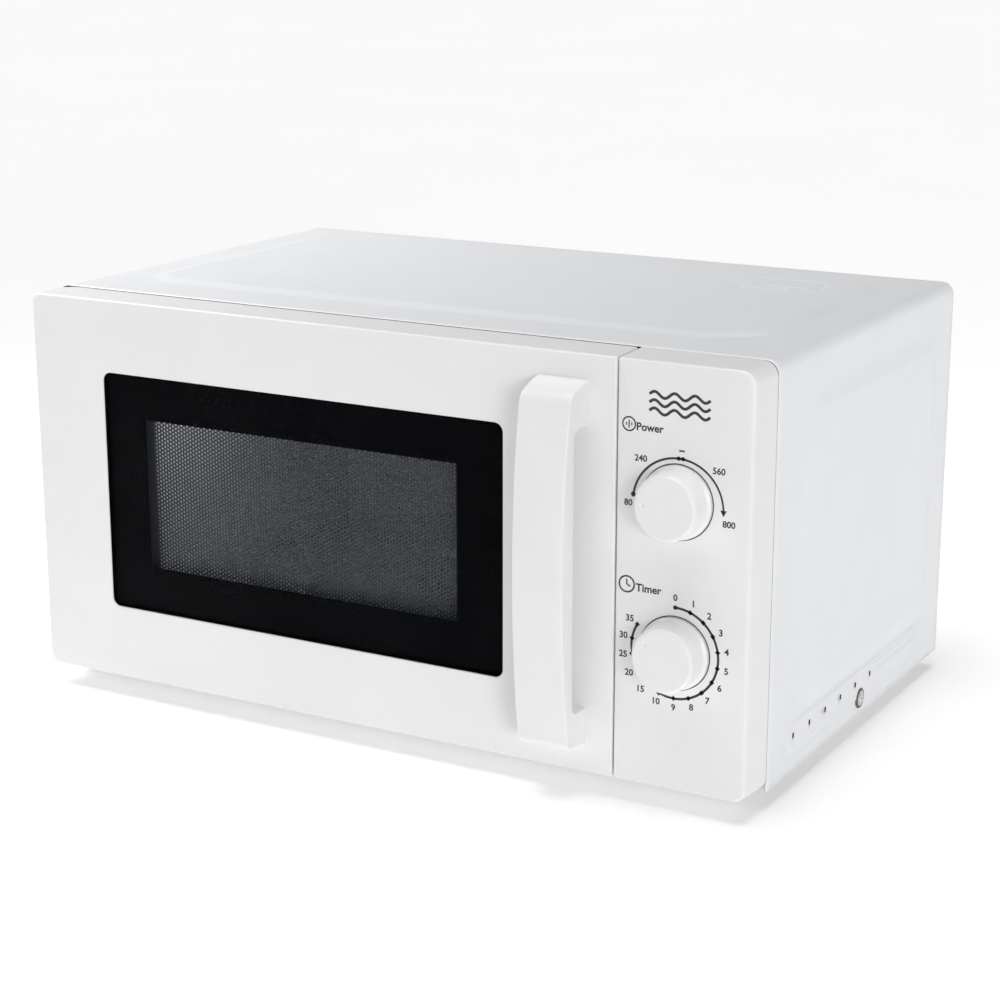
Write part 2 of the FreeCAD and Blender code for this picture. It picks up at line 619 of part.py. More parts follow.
def make_wiring_loom():
    """Leads of the loom: capacitor to magnetron, winding to capacitor, and two from filter to timer."""
    x0, x1, y0, y1 = CAPACITOR
    middle = (y0 + y1) / 2
    terminal_z = CAPACITOR_TOP + TERMINAL_HEIGHT
    left, right = x0 + TERMINAL_INSET, x1 - TERMINAL_INSET
    box_x = YOKE[1] + FILTER_BOX[0] / 2
    box_back = TUBE_Y + FILTER_BOX[1]
    coil_back = CORE[3] + COIL_OVERHANG
    high = terminal_z + LEAD_RISE
    routes = [[(left, middle, terminal_z), (left, middle, high), (box_x, middle - 4, high - 6),
               (box_x, box_back, high - 6)],
              [(192, coil_back, 60), (192, coil_back + 12, 60), (192, middle, 112),
               (192, middle, high), (right, middle, high), (right, middle, terminal_z)]]
    timer_back = UNIT_Y + 32
    for step in (0.0, 4.0):
        routes.append([(206 + step, REAR_PANEL_Y - BOARD_STANDOFF - 14, 48), (206 + step, 246, 48),
                       (214 + step, 226, 28), (214 + step, 104, 28), (200 + step, 80, 70 - step),
                       (200 + step, timer_back, 70 - step)])
    save("wiring_loom", *[lead(route) for route in routes])


# ---- cooling fan, lamp and filter board ----

def make_fan():
    """Shroud with its collar and motor strap, shaded-pole motor, shaft, and the moulded blade."""
    y = FAN_PLATE_Y
    half = FAN_PLATE_HALF
    back = y + FAN_PLATE
    strap_y = y + 12
    motor_y = strap_y + 2
    plate = box(FAN_X - half, FAN_X + half, y, back, FAN_Z - half, FAN_Z + half)
    collar = rod(FAN_R + 5.5, (FAN_X, y - 12, FAN_Z), Y_AXIS, 12 + FAN_PLATE)
    mouth = rod(FAN_R + 3.5, (FAN_X, y - 12 - OVER, FAN_Z), Y_AXIS, 16)
    posts = [box(FAN_X + s * 50 - 2.5, FAN_X + s * 50 + 2.5, back, strap_y, FAN_Z - 6, FAN_Z + 6)
             for s in (-1, 1)]
    strap = box(FAN_X - 52.5, FAN_X + 52.5, strap_y, motor_y, FAN_Z - 6, FAN_Z + 6)
    shroud = fuse([fuse([plate, collar]).cut(mouth), *posts, strap])
    save("fan_shroud", shroud.cut(rod(5.0, (FAN_X, strap_y - OVER, FAN_Z), Y_AXIS, 5)))
    core = box(FAN_X - 27, FAN_X + 27, motor_y, motor_y + 18, FAN_Z - 22, FAN_Z + 22)
    bobbin = box(FAN_X - 13, FAN_X + 13, motor_y, motor_y + 20, FAN_Z - 34, FAN_Z - 22)
    bore = rod(FAN_SHAFT_R + RUNNING, (FAN_X, motor_y - OVER, FAN_Z), Y_AXIS, 18)
    save("fan_motor", fuse([core, bobbin]).cut(bore))
    shaft_y = y - 8
    save("fan_shaft", rod(FAN_SHAFT_R, (FAN_X, shaft_y, FAN_Z), Y_AXIS, 38))
    parts = [rod(9.0, (FAN_X, y - 10, FAN_Z), Y_AXIS, 14)]
    for index in range(FAN_BLADES):
        blade = box(-9.5, 9.5, -0.7, 0.7, 7, FAN_R + 2)
        blade.rotate(V(0, 0, 0), Z_AXIS, FAN_PITCH)
        blade.rotate(V(0, 0, 0), Y_AXIS, 360.0 * index / FAN_BLADES)
        parts.append(blade.translated(V(FAN_X, y - 3, FAN_Z)))
    rotor = fuse(parts).common(rod(FAN_R, (FAN_X, y - 12, FAN_Z), Y_AXIS, 18))
    save("fan_blade", rotor.cut(rod(FAN_SHAFT_R, (FAN_X, shaft_y, FAN_Z), Y_AXIS, 20)))


def make_lamp():
    """Oven lamp in its holder behind the air holes of the right wall, and the thermal cutout."""
    x = BAY + 14
    y0, y1 = LAMP_Y - 8, LAMP_Y - 4
    bottom = LAMP_Z - 16
    plate = box(BAY, BAY + 1.2, y0, y1, bottom, LAMP_Z + 14)
    seat = box(BAY + 1.2, BAY + 24, y0, y1, bottom, LAMP_Z - 12)
    block = box(x - 6, x + 6, LAMP_Y - 5, LAMP_Y, bottom, LAMP_Z - 8)
    socket = rod(7.0, (x, LAMP_Y, bottom), Z_AXIS, 8)
    save("lamp_holder", fuse([plate, seat, block, socket]))
    glass = rod(BULB_R, (x, LAMP_Y, LAMP_Z - 8), Z_AXIS, 18)
    save("lamp_bulb", fuse([glass, Part.makeSphere(BULB_R, V(x, LAMP_Y, LAMP_Z + 10))]))
    body = rod(8.0, (BAY, 62, 198), X_AXIS, 7)
    tabs = [box(BAY + 7, BAY + 15, y - 0.4, y + 0.4, 195, 201) for y in (58.0, 66.0)]
    save("thermal_cutout", fuse([body, *tabs]))


def make_filter_board():
    """Mains filter board on stand-offs from the rear panel, with its fuse in two clips."""
    left, right, bottom, top = BOARD
    y0 = REAR_PANEL_Y - BOARD_STANDOFF
    fuse_axis = (192.0, y0 - 4)
    pieces = [box(left, right, y0, y0 + FAN_PLATE, bottom, top)]
    for x in (left + 4, right - 4):
        for z in (bottom + 4, top - 4):
            pieces.append(rod(2.5, (x, y0 + FAN_PLATE, z), Y_AXIS, BOARD_STANDOFF - FAN_PLATE))
    for z in (44, 66):
        clip = box(fuse_axis[0] - 4, fuse_axis[0] + 4, y0 - 7, y0, z - 1, z + 1)
        pieces.append(clip.cut(rod(FUSE_R, (*fuse_axis, 40), Z_AXIS, 30)))
    pieces.append(box(200, 216, y0 - 14, y0, 40, 56))
    pieces.append(box(200, 216, y0 - 10, y0, 62, 78))
    save("filter_board", fuse(pieces))
    save("line_fuse", rod(FUSE_R, (*fuse_axis, 42), Z_AXIS, 26))


# ---- turntable ----

def make_turntable_drive():
    """Motor under the cavity's floor, and the lobed coupler that its shaft carries through the floor."""
    top = CAVITY_FLOOR - SHEET
    body = rod(MOTOR_R, (TRAY_X, TRAY_Y, top - 16), Z_AXIS, 15)
    ears = [box(TRAY_X + s * 28 - 5, TRAY_X + s * 28 + 5, TRAY_Y - 4, TRAY_Y + 4, top - 3, top)
            for s in (-1, 1)]
    bore = rod(SHAFT_R + RUNNING, (TRAY_X, TRAY_Y, top - 12), Z_AXIS, 14)
    save("turntable_motor", fuse([body, *ears]).cut(bore))
    hub_z = CAVITY_FLOOR + 1.5
    hub_top = TRAY_UNDER - FIT_GAP
    parts = [rod(SHAFT_R, (TRAY_X, TRAY_Y, top - 10), Z_AXIS, 20),
             rod(HUB_R, (TRAY_X, TRAY_Y, hub_z), Z_AXIS, hub_top - hub_z)]
    for index in range(3):
        lobe = box(TRAY_X, TRAY_X + LOBE_REACH, TRAY_Y - 3.5, TRAY_Y + 3.5, hub_top - 6, hub_top)
        parts.append(turned(lobe, (TRAY_X, TRAY_Y, 0), Z_AXIS, 120 * index))
    save("turntable_coupler", fuse(parts))


def make_roller_ring():
    """Ring with three axles that point outwards, and a roller on each."""
    parts = [pipe(RING_R[1], RING_R[0], (TRAY_X, TRAY_Y, ROLLER_Z - RING_THICK / 2), Z_AXIS, RING_THICK)]
    root = RING_R[1] - 2
    inner = ROLLER_TRACK - ROLLER_WIDTH / 2
    outer = inner + ROLLER_WIDTH
    for index, angle in enumerate(ROLLER_ANGLES):
        axle = rod(AXLE_R, (TRAY_X + root, TRAY_Y, ROLLER_Z), X_AXIS, outer + 1.5 - root)
        cap = rod(AXLE_R + 1, (TRAY_X + outer + ROLL_GAP, TRAY_Y, ROLLER_Z), X_AXIS, 1.2)
        collar = rod(AXLE_R + 1.5, (TRAY_X + root, TRAY_Y, ROLLER_Z), X_AXIS, inner - ROLL_GAP - root)
        for piece in (axle, cap, collar):
            parts.append(turned(piece, (TRAY_X, TRAY_Y, 0), Z_AXIS, angle))
        wheel = pipe(ROLLER_R, AXLE_R + RUNNING, (TRAY_X + inner, TRAY_Y, ROLLER_Z), X_AXIS, ROLLER_WIDTH)
        save(f"tray_roller_{index + 1}", turned(wheel, (TRAY_X, TRAY_Y, 0), Z_AXIS, angle))
    save("roller_ring", fuse(parts))


def make_glass_tray():
    """Round glass plate with a raised rim and three lugs that sit between the coupler's lobes."""
    z = TRAY_UNDER
    upper = z + TRAY_THICK
    rim = z + TRAY_RISE
    outline = [(0, 0, z), (TRAY_R - 14, 0, z), (TRAY_R, 0, rim), (TRAY_R, 0, rim + TRAY_THICK),
               (TRAY_R - 3, 0, rim + TRAY_THICK), (TRAY_R - 16, 0, upper), (0, 0, upper)]
    disc = face_of(outline).revolve(V(0, 0, 0), Z_AXIS, 360).translated(V(TRAY_X, TRAY_Y, 0))
    parts = [disc]
    for index in range(3):
        lug = box(TRAY_X + 12, TRAY_X + 18, TRAY_Y - 3, TRAY_Y + 3, z - 4, z + OVER)
        parts.append(turned(lug, (TRAY_X, TRAY_Y, 0), Z_AXIS, 60 + 120 * index))
    save("glass_tray", fuse(parts))


# ---- front: door and control panel ----

def front_outline(inset):
    """Solid envelope of the whole front, drafted so that it widens towards the cabinet."""
    corner = FRONT_CORNER - inset / 2
    front = rounded_wire(-HALF + inset, HALF - FACE_DRAFT - inset, FACE_BOTTOM + inset,
                         FACE_TOP - inset, corner, 0)
    back = rounded_wire(-HALF + inset, HALF - inset, FACE_BOTTOM - 0.5 + inset,
                        CABINET_TOP - inset, corner, FRONT_DEPTH)
    return Part.makeLoft([front, back], True, True)


def door_plan():
    """Prism of the door's plan view: its hinged end is rounded about the pin, so that it can swing."""
    centre_x = HINGE_X + 1.5
    centre_y = DOOR_BACK - HINGE_ROUND
    diagonal = HINGE_ROUND * math.sqrt(0.5)
    nose = 3.0
    k = nose * (1 - math.sqrt(0.5))
    points = [(nose - HALF, 0, 0), (DOOR_RIGHT, 0, 0), (DOOR_RIGHT, DOOR_BACK, 0),
              (centre_x, DOOR_BACK, 0), (-HALF, centre_y, 0), (-HALF, nose, 0)]
    arcs = {3: (centre_x - diagonal, centre_y + diagonal, 0), 5: (k - HALF, k, 0)}
    return face_of(points, arcs).extrude(V(0, 0, FAR))


def make_door_frame():
    """Moulded front of the door: a shell with the window's rim, and bores for the hinge pins."""
    end = HINGE_X + 7
    shell = front_outline(0).common(door_plan())
    hollow = box(end, DOOR_RIGHT - DOOR_WALL, DOOR_WALL, FAR, FACE_BOTTOM + DOOR_WALL, FACE_TOP - DOOR_WALL)
    pocket = box(-HALF + DOOR_WALL, end + OVER, DOOR_WALL, DOOR_BACK - HINGE_ROUND,
                 FACE_BOTTOM + 24, FACE_TOP - 26)
    door = shell.cut(hollow).cut(pocket)
    left, right, bottom, top = GLASS
    rim = 4.0
    glass_back = GLASS_FRONT + GLASS_THICK + 0.1
    ledge = GLASS_LEDGE
    door = door.fuse(rounded_plate(left - rim, right + rim, bottom - rim, top + rim, GLASS_CORNER + rim,
                                   DOOR_WALL - 0.5, glass_back + 2))
    door = door.cut(rounded_plate(left, right, bottom, top, GLASS_CORNER, -OVER, glass_back))
    door = door.cut(rounded_plate(left + ledge, right - ledge, bottom + ledge, top - ledge, 2, -OVER, 8))
    slot_room = 0.6
    for tab_z in (LOWER_TAB_Z, UPPER_TAB_Z):
        door = door.cut(box(-FAR, HINGE_X + HINGE_TAB_HALF + 0.9, HINGE_Y - 7.4, FAR,
                            tab_z - slot_room, tab_z + HINGE_TAB + slot_room))
    beyond_sweep = pipe(40, HINGE_SWEEP, (HINGE_X, HINGE_Y, 0), Z_AXIS, FAR)
    for z0, z1 in ((LOWER_TAB_Z, LOWER_TAB_Z + 13), (UPPER_TAB_Z - 12, UPPER_TAB_Z + 2)):
        door = door.cut(beyond_sweep.common(box(-FAR, HINGE_X - 4, HINGE_Y, FAR, z0, z1)))
    lower_boss = LOWER_TAB_Z + HINGE_TAB + slot_room
    upper_boss = UPPER_TAB_Z - slot_room - HINGE_PIN
    for z in (lower_boss - OVER, upper_boss + OVER / 2):
        door = door.cut(rod(HINGE_PIN_R + RUNNING, (HINGE_X, HINGE_Y, z), Z_AXIS, HINGE_PIN + OVER / 2))
    for z in HANDLE_SCREW_Z:
        door = door.cut(rod(SCREW_CLEARANCE_R, (HANDLE_X, -OVER, z), Y_AXIS, 6))
    save("door_frame", door.removeSplitter())


def make_door_glass():
    """Window glass, set in the frame's rim."""
    left, right, bottom, top = GLASS
    gap = FIT_GAP
    save("door_glass", rounded_plate(left + gap, right - gap, bottom + gap, top - gap, GLASS_CORNER - gap,
                                     GLASS_FRONT, GLASS_FRONT + GLASS_THICK))


def make_choke_panel():
    """Folded steel pan of the door: a well that holds the screen, a flange and a turned-in lip."""
    t = SHEET
    left, right, bottom, top = PAN
    wl, wr, wb, wt = PAN_WELL
    back = PAN_FLANGE_Y + t
    flange = box(left, right, PAN_FLANGE_Y, back, bottom, top)
    lip = box(left, right, PAN_LIP_Y, back, bottom, top)
    lip = lip.cut(box(left + t, right - t, PAN_LIP_Y - OVER, FAR, bottom + t, top - t))
    well = box(wl - t, wr + t, PAN_SCREEN_Y, back, wb - t, wt + t)
    pan = fuse([flange, lip, well]).cut(box(wl, wr, PAN_SCREEN_Y + t, FAR, wb, wt))
    for row in range(4):
        for column in range(8):
            x = SCREEN[0] + 14 + 25.0 * column
            z = SCREEN[2] + 12 + 21.0 * row
            pan = pan.cut(rod(1.0, (x, PAN_SCREEN_Y - OVER, z), Y_AXIS, 3))
    save("choke_panel", pan)


def make_choke_cover():
    """Plastic cover over the pan's channel, with a slot for each latch hook."""
    wl, wr, wb, wt = PAN_WELL
    before, after = CHOKE_COVER_FRONT - OVER, DOOR_BACK + OVER
    cover = rounded_plate(*CHOKE_COVER, 3, CHOKE_COVER_FRONT, DOOR_BACK)
    cover = cover.cut(rounded_plate(wl + 2, wr - 2, wb + 2, wt - 2, 3, before, after))
    for z in LATCH_Z:
        cover = cover.cut(box(LATCH_BAR[0] - 1, LATCH_BAR[1] + 1, before, after,
                              z - HOOK_NOSE - 1, z + HOOK_HEIGHT + LATCH_TRAVEL + 1.5))
    save("choke_cover", cover)


def make_inner_window():
    """Clear sheet that closes the pan's well on the oven's side."""
    wl, wr, wb, wt = PAN_WELL
    gap = FIT_GAP
    save("inner_window", box(wl + gap, wr - gap, 19.8, 21.0, wb + gap, wt - gap))


def make_door_latch():
    """Sliding bar in the door's free end with two hooks, and the spring that pulls it down."""
    x0, x1, y0, y1 = LATCH_BAR
    low = LATCH_Z[0]
    tail = low - LATCH_TAIL
    parts = [box(*LATCH_BAR, low, LATCH_Z[1] + HOOK_HEIGHT),
             box(x0 + 1, x1 - 1, y0 + 0.5, y1 - 0.5, tail, low)]
    for z in LATCH_Z:
        parts.append(box(x0 + 1, x1 - 1, y1 - OVER, HOOK_Y[1], z, z + HOOK_HEIGHT))
        parts.append(box(x0 + 1, x1 - 1, *HOOK_Y, z - HOOK_NOSE, z + OVER))
    save("door_latch", fuse(parts))
    foot = ((x0 + x1) / 2, (y0 + y1) / 2, SPRING_FOOT_Z)
    save("latch_spring", pipe(SPRING_R[1], SPRING_R[0], foot, Z_AXIS, tail - SPRING_FOOT_Z))


def make_handle():
    """Bow handle: two stand-offs and a bar whose front is a long flat arc; and its two screws."""
    x = HANDLE_LEFT
    low, high = BAR_ENDS
    seat = -HANDLE_SEAT
    points = [(x, seat, HANDLE_BOTTOM), (x, -16.2, 30.6), (x, -BAR_END_REACH, low),
              (x, -BAR_END_REACH, high), (x, seat, HANDLE_TOP)]
    arcs = {1: (x, -19.3, 32.6), 2: (x, -HANDLE_REACH, (low + high) / 2), 3: (x, -15.6, 217.6)}
    width = V(HANDLE_RIGHT - HANDLE_LEFT, 0, 0)
    r = GAP_ROUND
    k = r * (1 - math.sqrt(0.5))
    gap = [(x, OVER, GAP_BOTTOM), (x, OVER, GAP_TOP), (x, BAR_BACK + r, GAP_TOP), (x, BAR_BACK, GAP_TOP - r),
           (x, BAR_BACK, GAP_BOTTOM + r), (x, BAR_BACK + r, GAP_BOTTOM)]
    gap_arcs = {2: (x, BAR_BACK + k, GAP_TOP - k), 4: (x, BAR_BACK + k, GAP_BOTTOM + k)}
    bow = face_of(points, arcs).extrude(width).cut(face_of(gap, gap_arcs).extrude(width))
    screws = []
    for z in HANDLE_SCREW_Z:
        bow = bow.cut(rod(HANDLE_SCREW_R, (HANDLE_X, -HANDLE_SCREW_DEPTH - 0.5, z), Y_AXIS, 12))
        head = rod(3.8, (HANDLE_X, DOOR_WALL, z), Y_AXIS, 2)
        shank = rod(HANDLE_SCREW_R, (HANDLE_X, -HANDLE_SCREW_DEPTH, z), Y_AXIS,
                    HANDLE_SCREW_DEPTH + DOOR_WALL)
        screws.append(head.fuse(shank))
    save("handle", bow)
    save("handle_screws", *screws)


def make_control_panel():
    """Moulded front of the controls, with a collared hole for each knob's shaft."""
    left = SEAM_X + SEAM_GAP / 2
    shell = front_outline(0).common(box(left, FAR, -OVER, FAR, 0, FAR))
    hollow = front_outline(DOOR_WALL).common(box(left + DOOR_WALL, FAR, DOOR_WALL, FAR, 0, FAR))
    panel = shell.cut(hollow)
    for z in (POWER_Z, TIMER_Z):
        panel = panel.fuse(rod(8.0, (KNOB_X, DOOR_WALL - 0.5, z), Y_AXIS, 4))
        panel = panel.cut(rod(PANEL_HOLE_R, (KNOB_X, -OVER, z), Y_AXIS, 12))
    save("control_panel", panel.removeSplitter())


# ---- controls ----

def make_control_bracket():
    """Steel plate that carries the power and timer units behind the front plate's windows."""
    plate = box(154, 220, CAVITY_FRONT, UNIT_Y, 40, 214)
    for z in (POWER_Z, TIMER_Z):
        plate = plate.cut(rod(BUSH_R + 0.5, (KNOB_X, CAVITY_FRONT - OVER, z), Y_AXIS, 4))
    save("control_bracket", plate)


def control_unit(z, half_x, half_z, depth):
    """Switch or timer housing with a bush, before its shaft's bore is cut."""
    housing = box(KNOB_X - half_x, KNOB_X + half_x, UNIT_Y, UNIT_Y + depth, z - half_z, z + half_z)
    return fuse([housing, rod(BUSH_R, (KNOB_X, UNIT_Y - BUSH_REACH, z), Y_AXIS, BUSH_REACH + OVER)])


def shaft_bore(z):
    """Cutting rod for the running fit of a knob's shaft."""
    return rod(SHAFT_R + RUNNING, (KNOB_X, UNIT_Y - BUSH_REACH - OVER, z), Y_AXIS,
               SHAFT_END + BUSH_REACH + 2 * OVER - UNIT_Y)


def make_units():
    """Power unit, timer unit with its motor can, and the bell that the timer strikes."""
    save("power_unit", control_unit(POWER_Z, 20, 20, 26).cut(shaft_bore(POWER_Z)))
    can = rod(17.0, (KNOB_X, UNIT_Y + 32, TIMER_Z), Y_AXIS, 12)
    save("timer_unit", fuse([control_unit(TIMER_Z, 23, 25, 32), can]).cut(shaft_bore(TIMER_Z)))
    centre = V(KNOB_X, UNIT_Y + 16, BELL_Z)
    cup = Part.makeSphere(BELL_R, centre).cut(Part.makeSphere(BELL_R - PLATE, centre))
    cup = cup.common(box(KNOB_X - 20, KNOB_X + 20, UNIT_Y, UNIT_Y + 10, BELL_Z - 20, BELL_Z + 20))
    post = rod(2.0, (KNOB_X, UNIT_Y + 3.2, BELL_Z), Y_AXIS, 18)
    arm = box(KNOB_X - 4, KNOB_X + 4, UNIT_Y + 20, UNIT_Y + 22, BELL_Z - 4, TIMER_Z - 25)
    save("timer_bell", fuse([cup, post, arm]))


def make_knob(name, z):
    """Knob with a wide base ring, a hollow back and a hub on its shaft; and the shaft."""
    base = -KNOB_GAP
    face = -KNOB_DEPTH
    r = KNOB_R
    outline = [(0, base, 0), (KNOB_BASE_R, base, 0), (KNOB_BASE_R, base - 2, 0), (r + 0.6, base - 2.6, 0),
               (r, face + 2.0, 0), (r - 2.0, face, 0), (0, face, 0)]
    arcs = {4: (r - 0.6, face + 0.6, 0)}
    knob = face_of(outline, arcs).revolve(V(0, 0, 0), Y_AXIS, 360).translated(V(KNOB_X, 0, z))
    shaft_y = KNOB_BORE - KNOB_DEPTH - 10
    hollow = pipe(r - KNOB_WALL, KNOB_HUB_R, (KNOB_X, face + KNOB_WALL, z), Y_AXIS, KNOB_DEPTH)
    knob = knob.cut(hollow).cut(rod(SHAFT_R, (KNOB_X, shaft_y, z), Y_AXIS, KNOB_DEPTH))
    save(name + "_knob", knob)
    save(name + "_shaft", rod(SHAFT_R, (KNOB_X, shaft_y, z), Y_AXIS, SHAFT_END - shaft_y))


def make_interlock():
    """Latch frame behind the front plate, with three interlock switches beside the hooks."""
    back = 60.0
    wall_x = 145.0
    shelf = 2.5
    wall = box(wall_x, wall_x + shelf, CAVITY_FRONT, back, 44, 204)
    shelves = [box(121, wall_x, CAVITY_FRONT, back, z, z + shelf) for z in (44, 80, 160, 201.5)]
    save("latch_frame", fuse([wall, *shelves]))
    switches = []
    for x, z in ((122.4, 48.0), (133.4, 48.0), (128.0, 165.0)):
        case = box(x, x + 10.3, 42, 58, z, z + 27.8)
        switches.append(case.fuse(box(x + 3.5, x + 6.5, 40.6, 42, z + 12, z + 15)))
    save("interlock_switches", *switches)


def main():
    """Writes every node."""
    os.makedirs("parts", exist_ok=True)
    make_outer_wrap()
    make_base_plate()
    make_rear_panel()
    make_cord_gland()
    make_feet()
    make_case_screws()
    make_oven_cavity()
    make_front_plate()
    make_hinge("lower_hinge", LOWER_TAB_Z, True)
    make_hinge("upper_hinge", UPPER_TAB_Z, False)
    make_waveguide()
    make_waveguide_cover()
    make_magnetron()
    make_transformer()
    make_capacitor()
    make_wiring_loom()
    make_fan()
    make_lamp()
    make_filter_board()
    make_turntable_drive()
    make_roller_ring()
    make_glass_tray()
    make_door_frame()
    make_door_glass()
    make_choke_panel()
    make_choke_cover()
    make_inner_window()
    make_door_latch()
    make_handle()
    make_control_panel()
    make_control_bracket()
    make_units()
    make_knob("power", POWER_Z)
    make_knob("timer", TIMER_Z)
    make_interlock()
    print("shift along Y:", ORIGIN_SHIFT)


main()
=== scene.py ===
# %% [markdown]
# # A countertop microwave oven
#
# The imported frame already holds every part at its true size, and says how the door, knobs, turntable
# and fan move. These cells dress it: the parts that show get smooth new surfaces, and every part gets
# a finish. All new shapes are worked out in millimetres, with Y counted back from the front face.

# %% Load the frame
import math

import bmesh
import bpy
import numpy as np
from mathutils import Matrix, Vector


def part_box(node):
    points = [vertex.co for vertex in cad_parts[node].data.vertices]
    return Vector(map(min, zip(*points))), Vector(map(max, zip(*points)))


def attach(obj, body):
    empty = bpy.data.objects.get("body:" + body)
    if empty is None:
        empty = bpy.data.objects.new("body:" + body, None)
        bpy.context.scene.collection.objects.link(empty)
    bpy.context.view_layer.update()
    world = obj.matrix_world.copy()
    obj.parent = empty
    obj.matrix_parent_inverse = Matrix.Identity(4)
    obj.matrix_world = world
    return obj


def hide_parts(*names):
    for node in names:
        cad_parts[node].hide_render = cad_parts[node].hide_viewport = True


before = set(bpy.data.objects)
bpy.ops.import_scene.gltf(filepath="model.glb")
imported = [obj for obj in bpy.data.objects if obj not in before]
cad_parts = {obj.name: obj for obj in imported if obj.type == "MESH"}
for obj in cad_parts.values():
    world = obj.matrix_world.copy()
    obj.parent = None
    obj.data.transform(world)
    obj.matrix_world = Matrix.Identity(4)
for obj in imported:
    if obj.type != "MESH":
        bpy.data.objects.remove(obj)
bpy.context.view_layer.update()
print("parts in the frame:", len(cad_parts))

# %% [markdown]
# ## Where things are
#
# The front face of the door is the plane that everything else is measured from. Boxes of the packed
# parts give the outlines, so a new surface always lands on the part that it stands for.

# %% Read the boxes
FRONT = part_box("door_frame")[0].y
MM = 0.001


def limits(node):
    """Left, right, front, back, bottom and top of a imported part, in millimetres."""
    low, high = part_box(node)
    pairs = (low.x, high.x, low.y - FRONT, high.y - FRONT, low.z, high.z)
    return tuple(round(value / MM, 2) for value in pairs)


DOOR_LEFT, DOOR_RIGHT, _, DOOR_BACK, _, _ = limits("door_frame")
PANEL_LEFT, PANEL_RIGHT, _, PANEL_BACK, _, _ = limits("control_panel")
BOTTOM, TOP = 13.0, 236.0       # lower and upper edge of the front face
print("door", DOOR_LEFT, DOOR_RIGHT, DOOR_BACK, "panel", PANEL_LEFT, PANEL_RIGHT, PANEL_BACK)

# %% [markdown]
# ## The camera
#
# A long lens keeps the oven's edges nearly parallel, as in a catalogue picture. The camera stands to
# the right and a little above, is held level, and has no shift, so that its other views stay centred.

# %% Camera
AZIMUTH, ELEVATION = math.radians(29.474), math.radians(15.103)
CAMERA_PLACE = (0.649438, -1.134239, 0.464397)     # metres from the middle of the footprint
LENS, SENSOR = 82.74, 36.0                         # millimetres
camera = bpy.data.objects.new("camera", bpy.data.cameras.new("camera"))
camera.data.lens = LENS
camera.data.sensor_width = SENSOR
camera.data.clip_start = 0.05
camera.location = CAMERA_PLACE
camera.rotation_euler = (math.pi / 2 - ELEVATION, 0.0, AZIMUTH)
bpy.context.scene.collection.objects.link(camera)
bpy.context.scene.camera = camera

# %% [markdown]
# ## Helpers for surfaces
#
# A surface here is a grid of points: rows of an outline, or rings round an axis. The faces only say
# which neighbours belong together, so one helper can weave any grid, closed or open.

# %% Weave, join and make a piece


def weave(rows, columns, close_rows=False, close_columns=True):
    """Quads between neighbouring rows and columns of a grid, as an array of corner numbers."""
    i = np.arange(rows if close_rows else rows - 1)[:, None]
    j = np.arange(columns if close_columns else columns - 1)[None, :]
    below, beside = (i + 1) % rows, (j + 1) % columns
    corners = [i * columns + j, i * columns + beside, below * columns + beside, below * columns + j]
    return np.stack(np.broadcast_arrays(*corners), -1).reshape(-1, 4)


def skin(rings, close_rows=False, close_columns=True):
    """Points and faces of a grid of shape rows, columns, 3."""
    rings = np.asarray(rings, float)
    return rings.reshape(-1, 3), weave(*rings.shape[:2], close_rows, close_columns).tolist()


def join(parts):
    """Several shapes as one: their points in a row, and their corner numbers moved up to match."""
    starts = np.cumsum([0] + [len(points) for points, _ in parts])
    faces = [[corner + start for corner in face]
             for start, (_, part_faces) in zip(starts.tolist(), parts) for face in part_faces]
    return np.concatenate([points for points, _ in parts]), faces


def make_piece(name, shape, body, finish, nodes=(), sharp=35, solid=True, smooth=True):
    """Mesh object from millimetre points, welded, facing outwards, riding on a body of the frame."""
    points, faces = shape
    mesh = bpy.data.meshes.new(name)
    mesh.from_pydata((points * MM + (0, FRONT, 0)).tolist(), [], faces)
    work = bmesh.new()
    work.from_mesh(mesh)
    bmesh.ops.remove_doubles(work, verts=work.verts, dist=2e-6)
    if solid:
        bmesh.ops.recalc_face_normals(work, faces=work.faces)
    work.to_mesh(mesh)
    work.free()
    if smooth:
        mesh.shade_smooth()
        mesh.set_sharp_from_angle(angle=math.radians(sharp))
    mesh.materials.append(finish)
    piece = bpy.data.objects.new(name, mesh)
    bpy.context.scene.collection.objects.link(piece)
    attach(piece, body)
    if nodes:
        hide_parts(*nodes)
    print(name, "faces:", len(mesh.polygons))
    return piece


# %% [markdown]
# ## Helpers for finishes
#
# Paint, moulded plastic, zinc and rubber differ in three things here: how the colour wanders, how
# the gloss wanders, and the fine relief that breaks up a reflection. One function sets all three
# from noise in the part's own coordinates, so a pattern never slides.

# %% Finishes from noise


def noise(tree, scale, stretch=(1, 1, 1), detail=3.0):
    """Noise on the part's own coordinates; scale is the number of grains in a metre."""
    where = tree.nodes.new("ShaderNodeTexCoord")
    turn = tree.nodes.new("ShaderNodeMapping")
    grain = tree.nodes.new("ShaderNodeTexNoise")
    turn.inputs["Scale"].default_value = stretch
    grain.inputs["Scale"].default_value = scale
    grain.inputs["Detail"].default_value = detail
    tree.links.new(where.outputs["Object"], turn.inputs["Vector"])
    tree.links.new(turn.outputs["Vector"], grain.inputs["Vector"])
    return grain.outputs["Fac"]


def between(tree, factor, low, high):
    """Number that runs from low to high as a noise runs from 0.3 to 0.7."""
    span = tree.nodes.new("ShaderNodeMapRange")
    for socket, value in (("From Min", 0.3), ("From Max", 0.7), ("To Min", low), ("To Max", high)):
        span.inputs[socket].default_value = value
    tree.links.new(factor, span.inputs["Value"])
    return span.outputs["Result"]


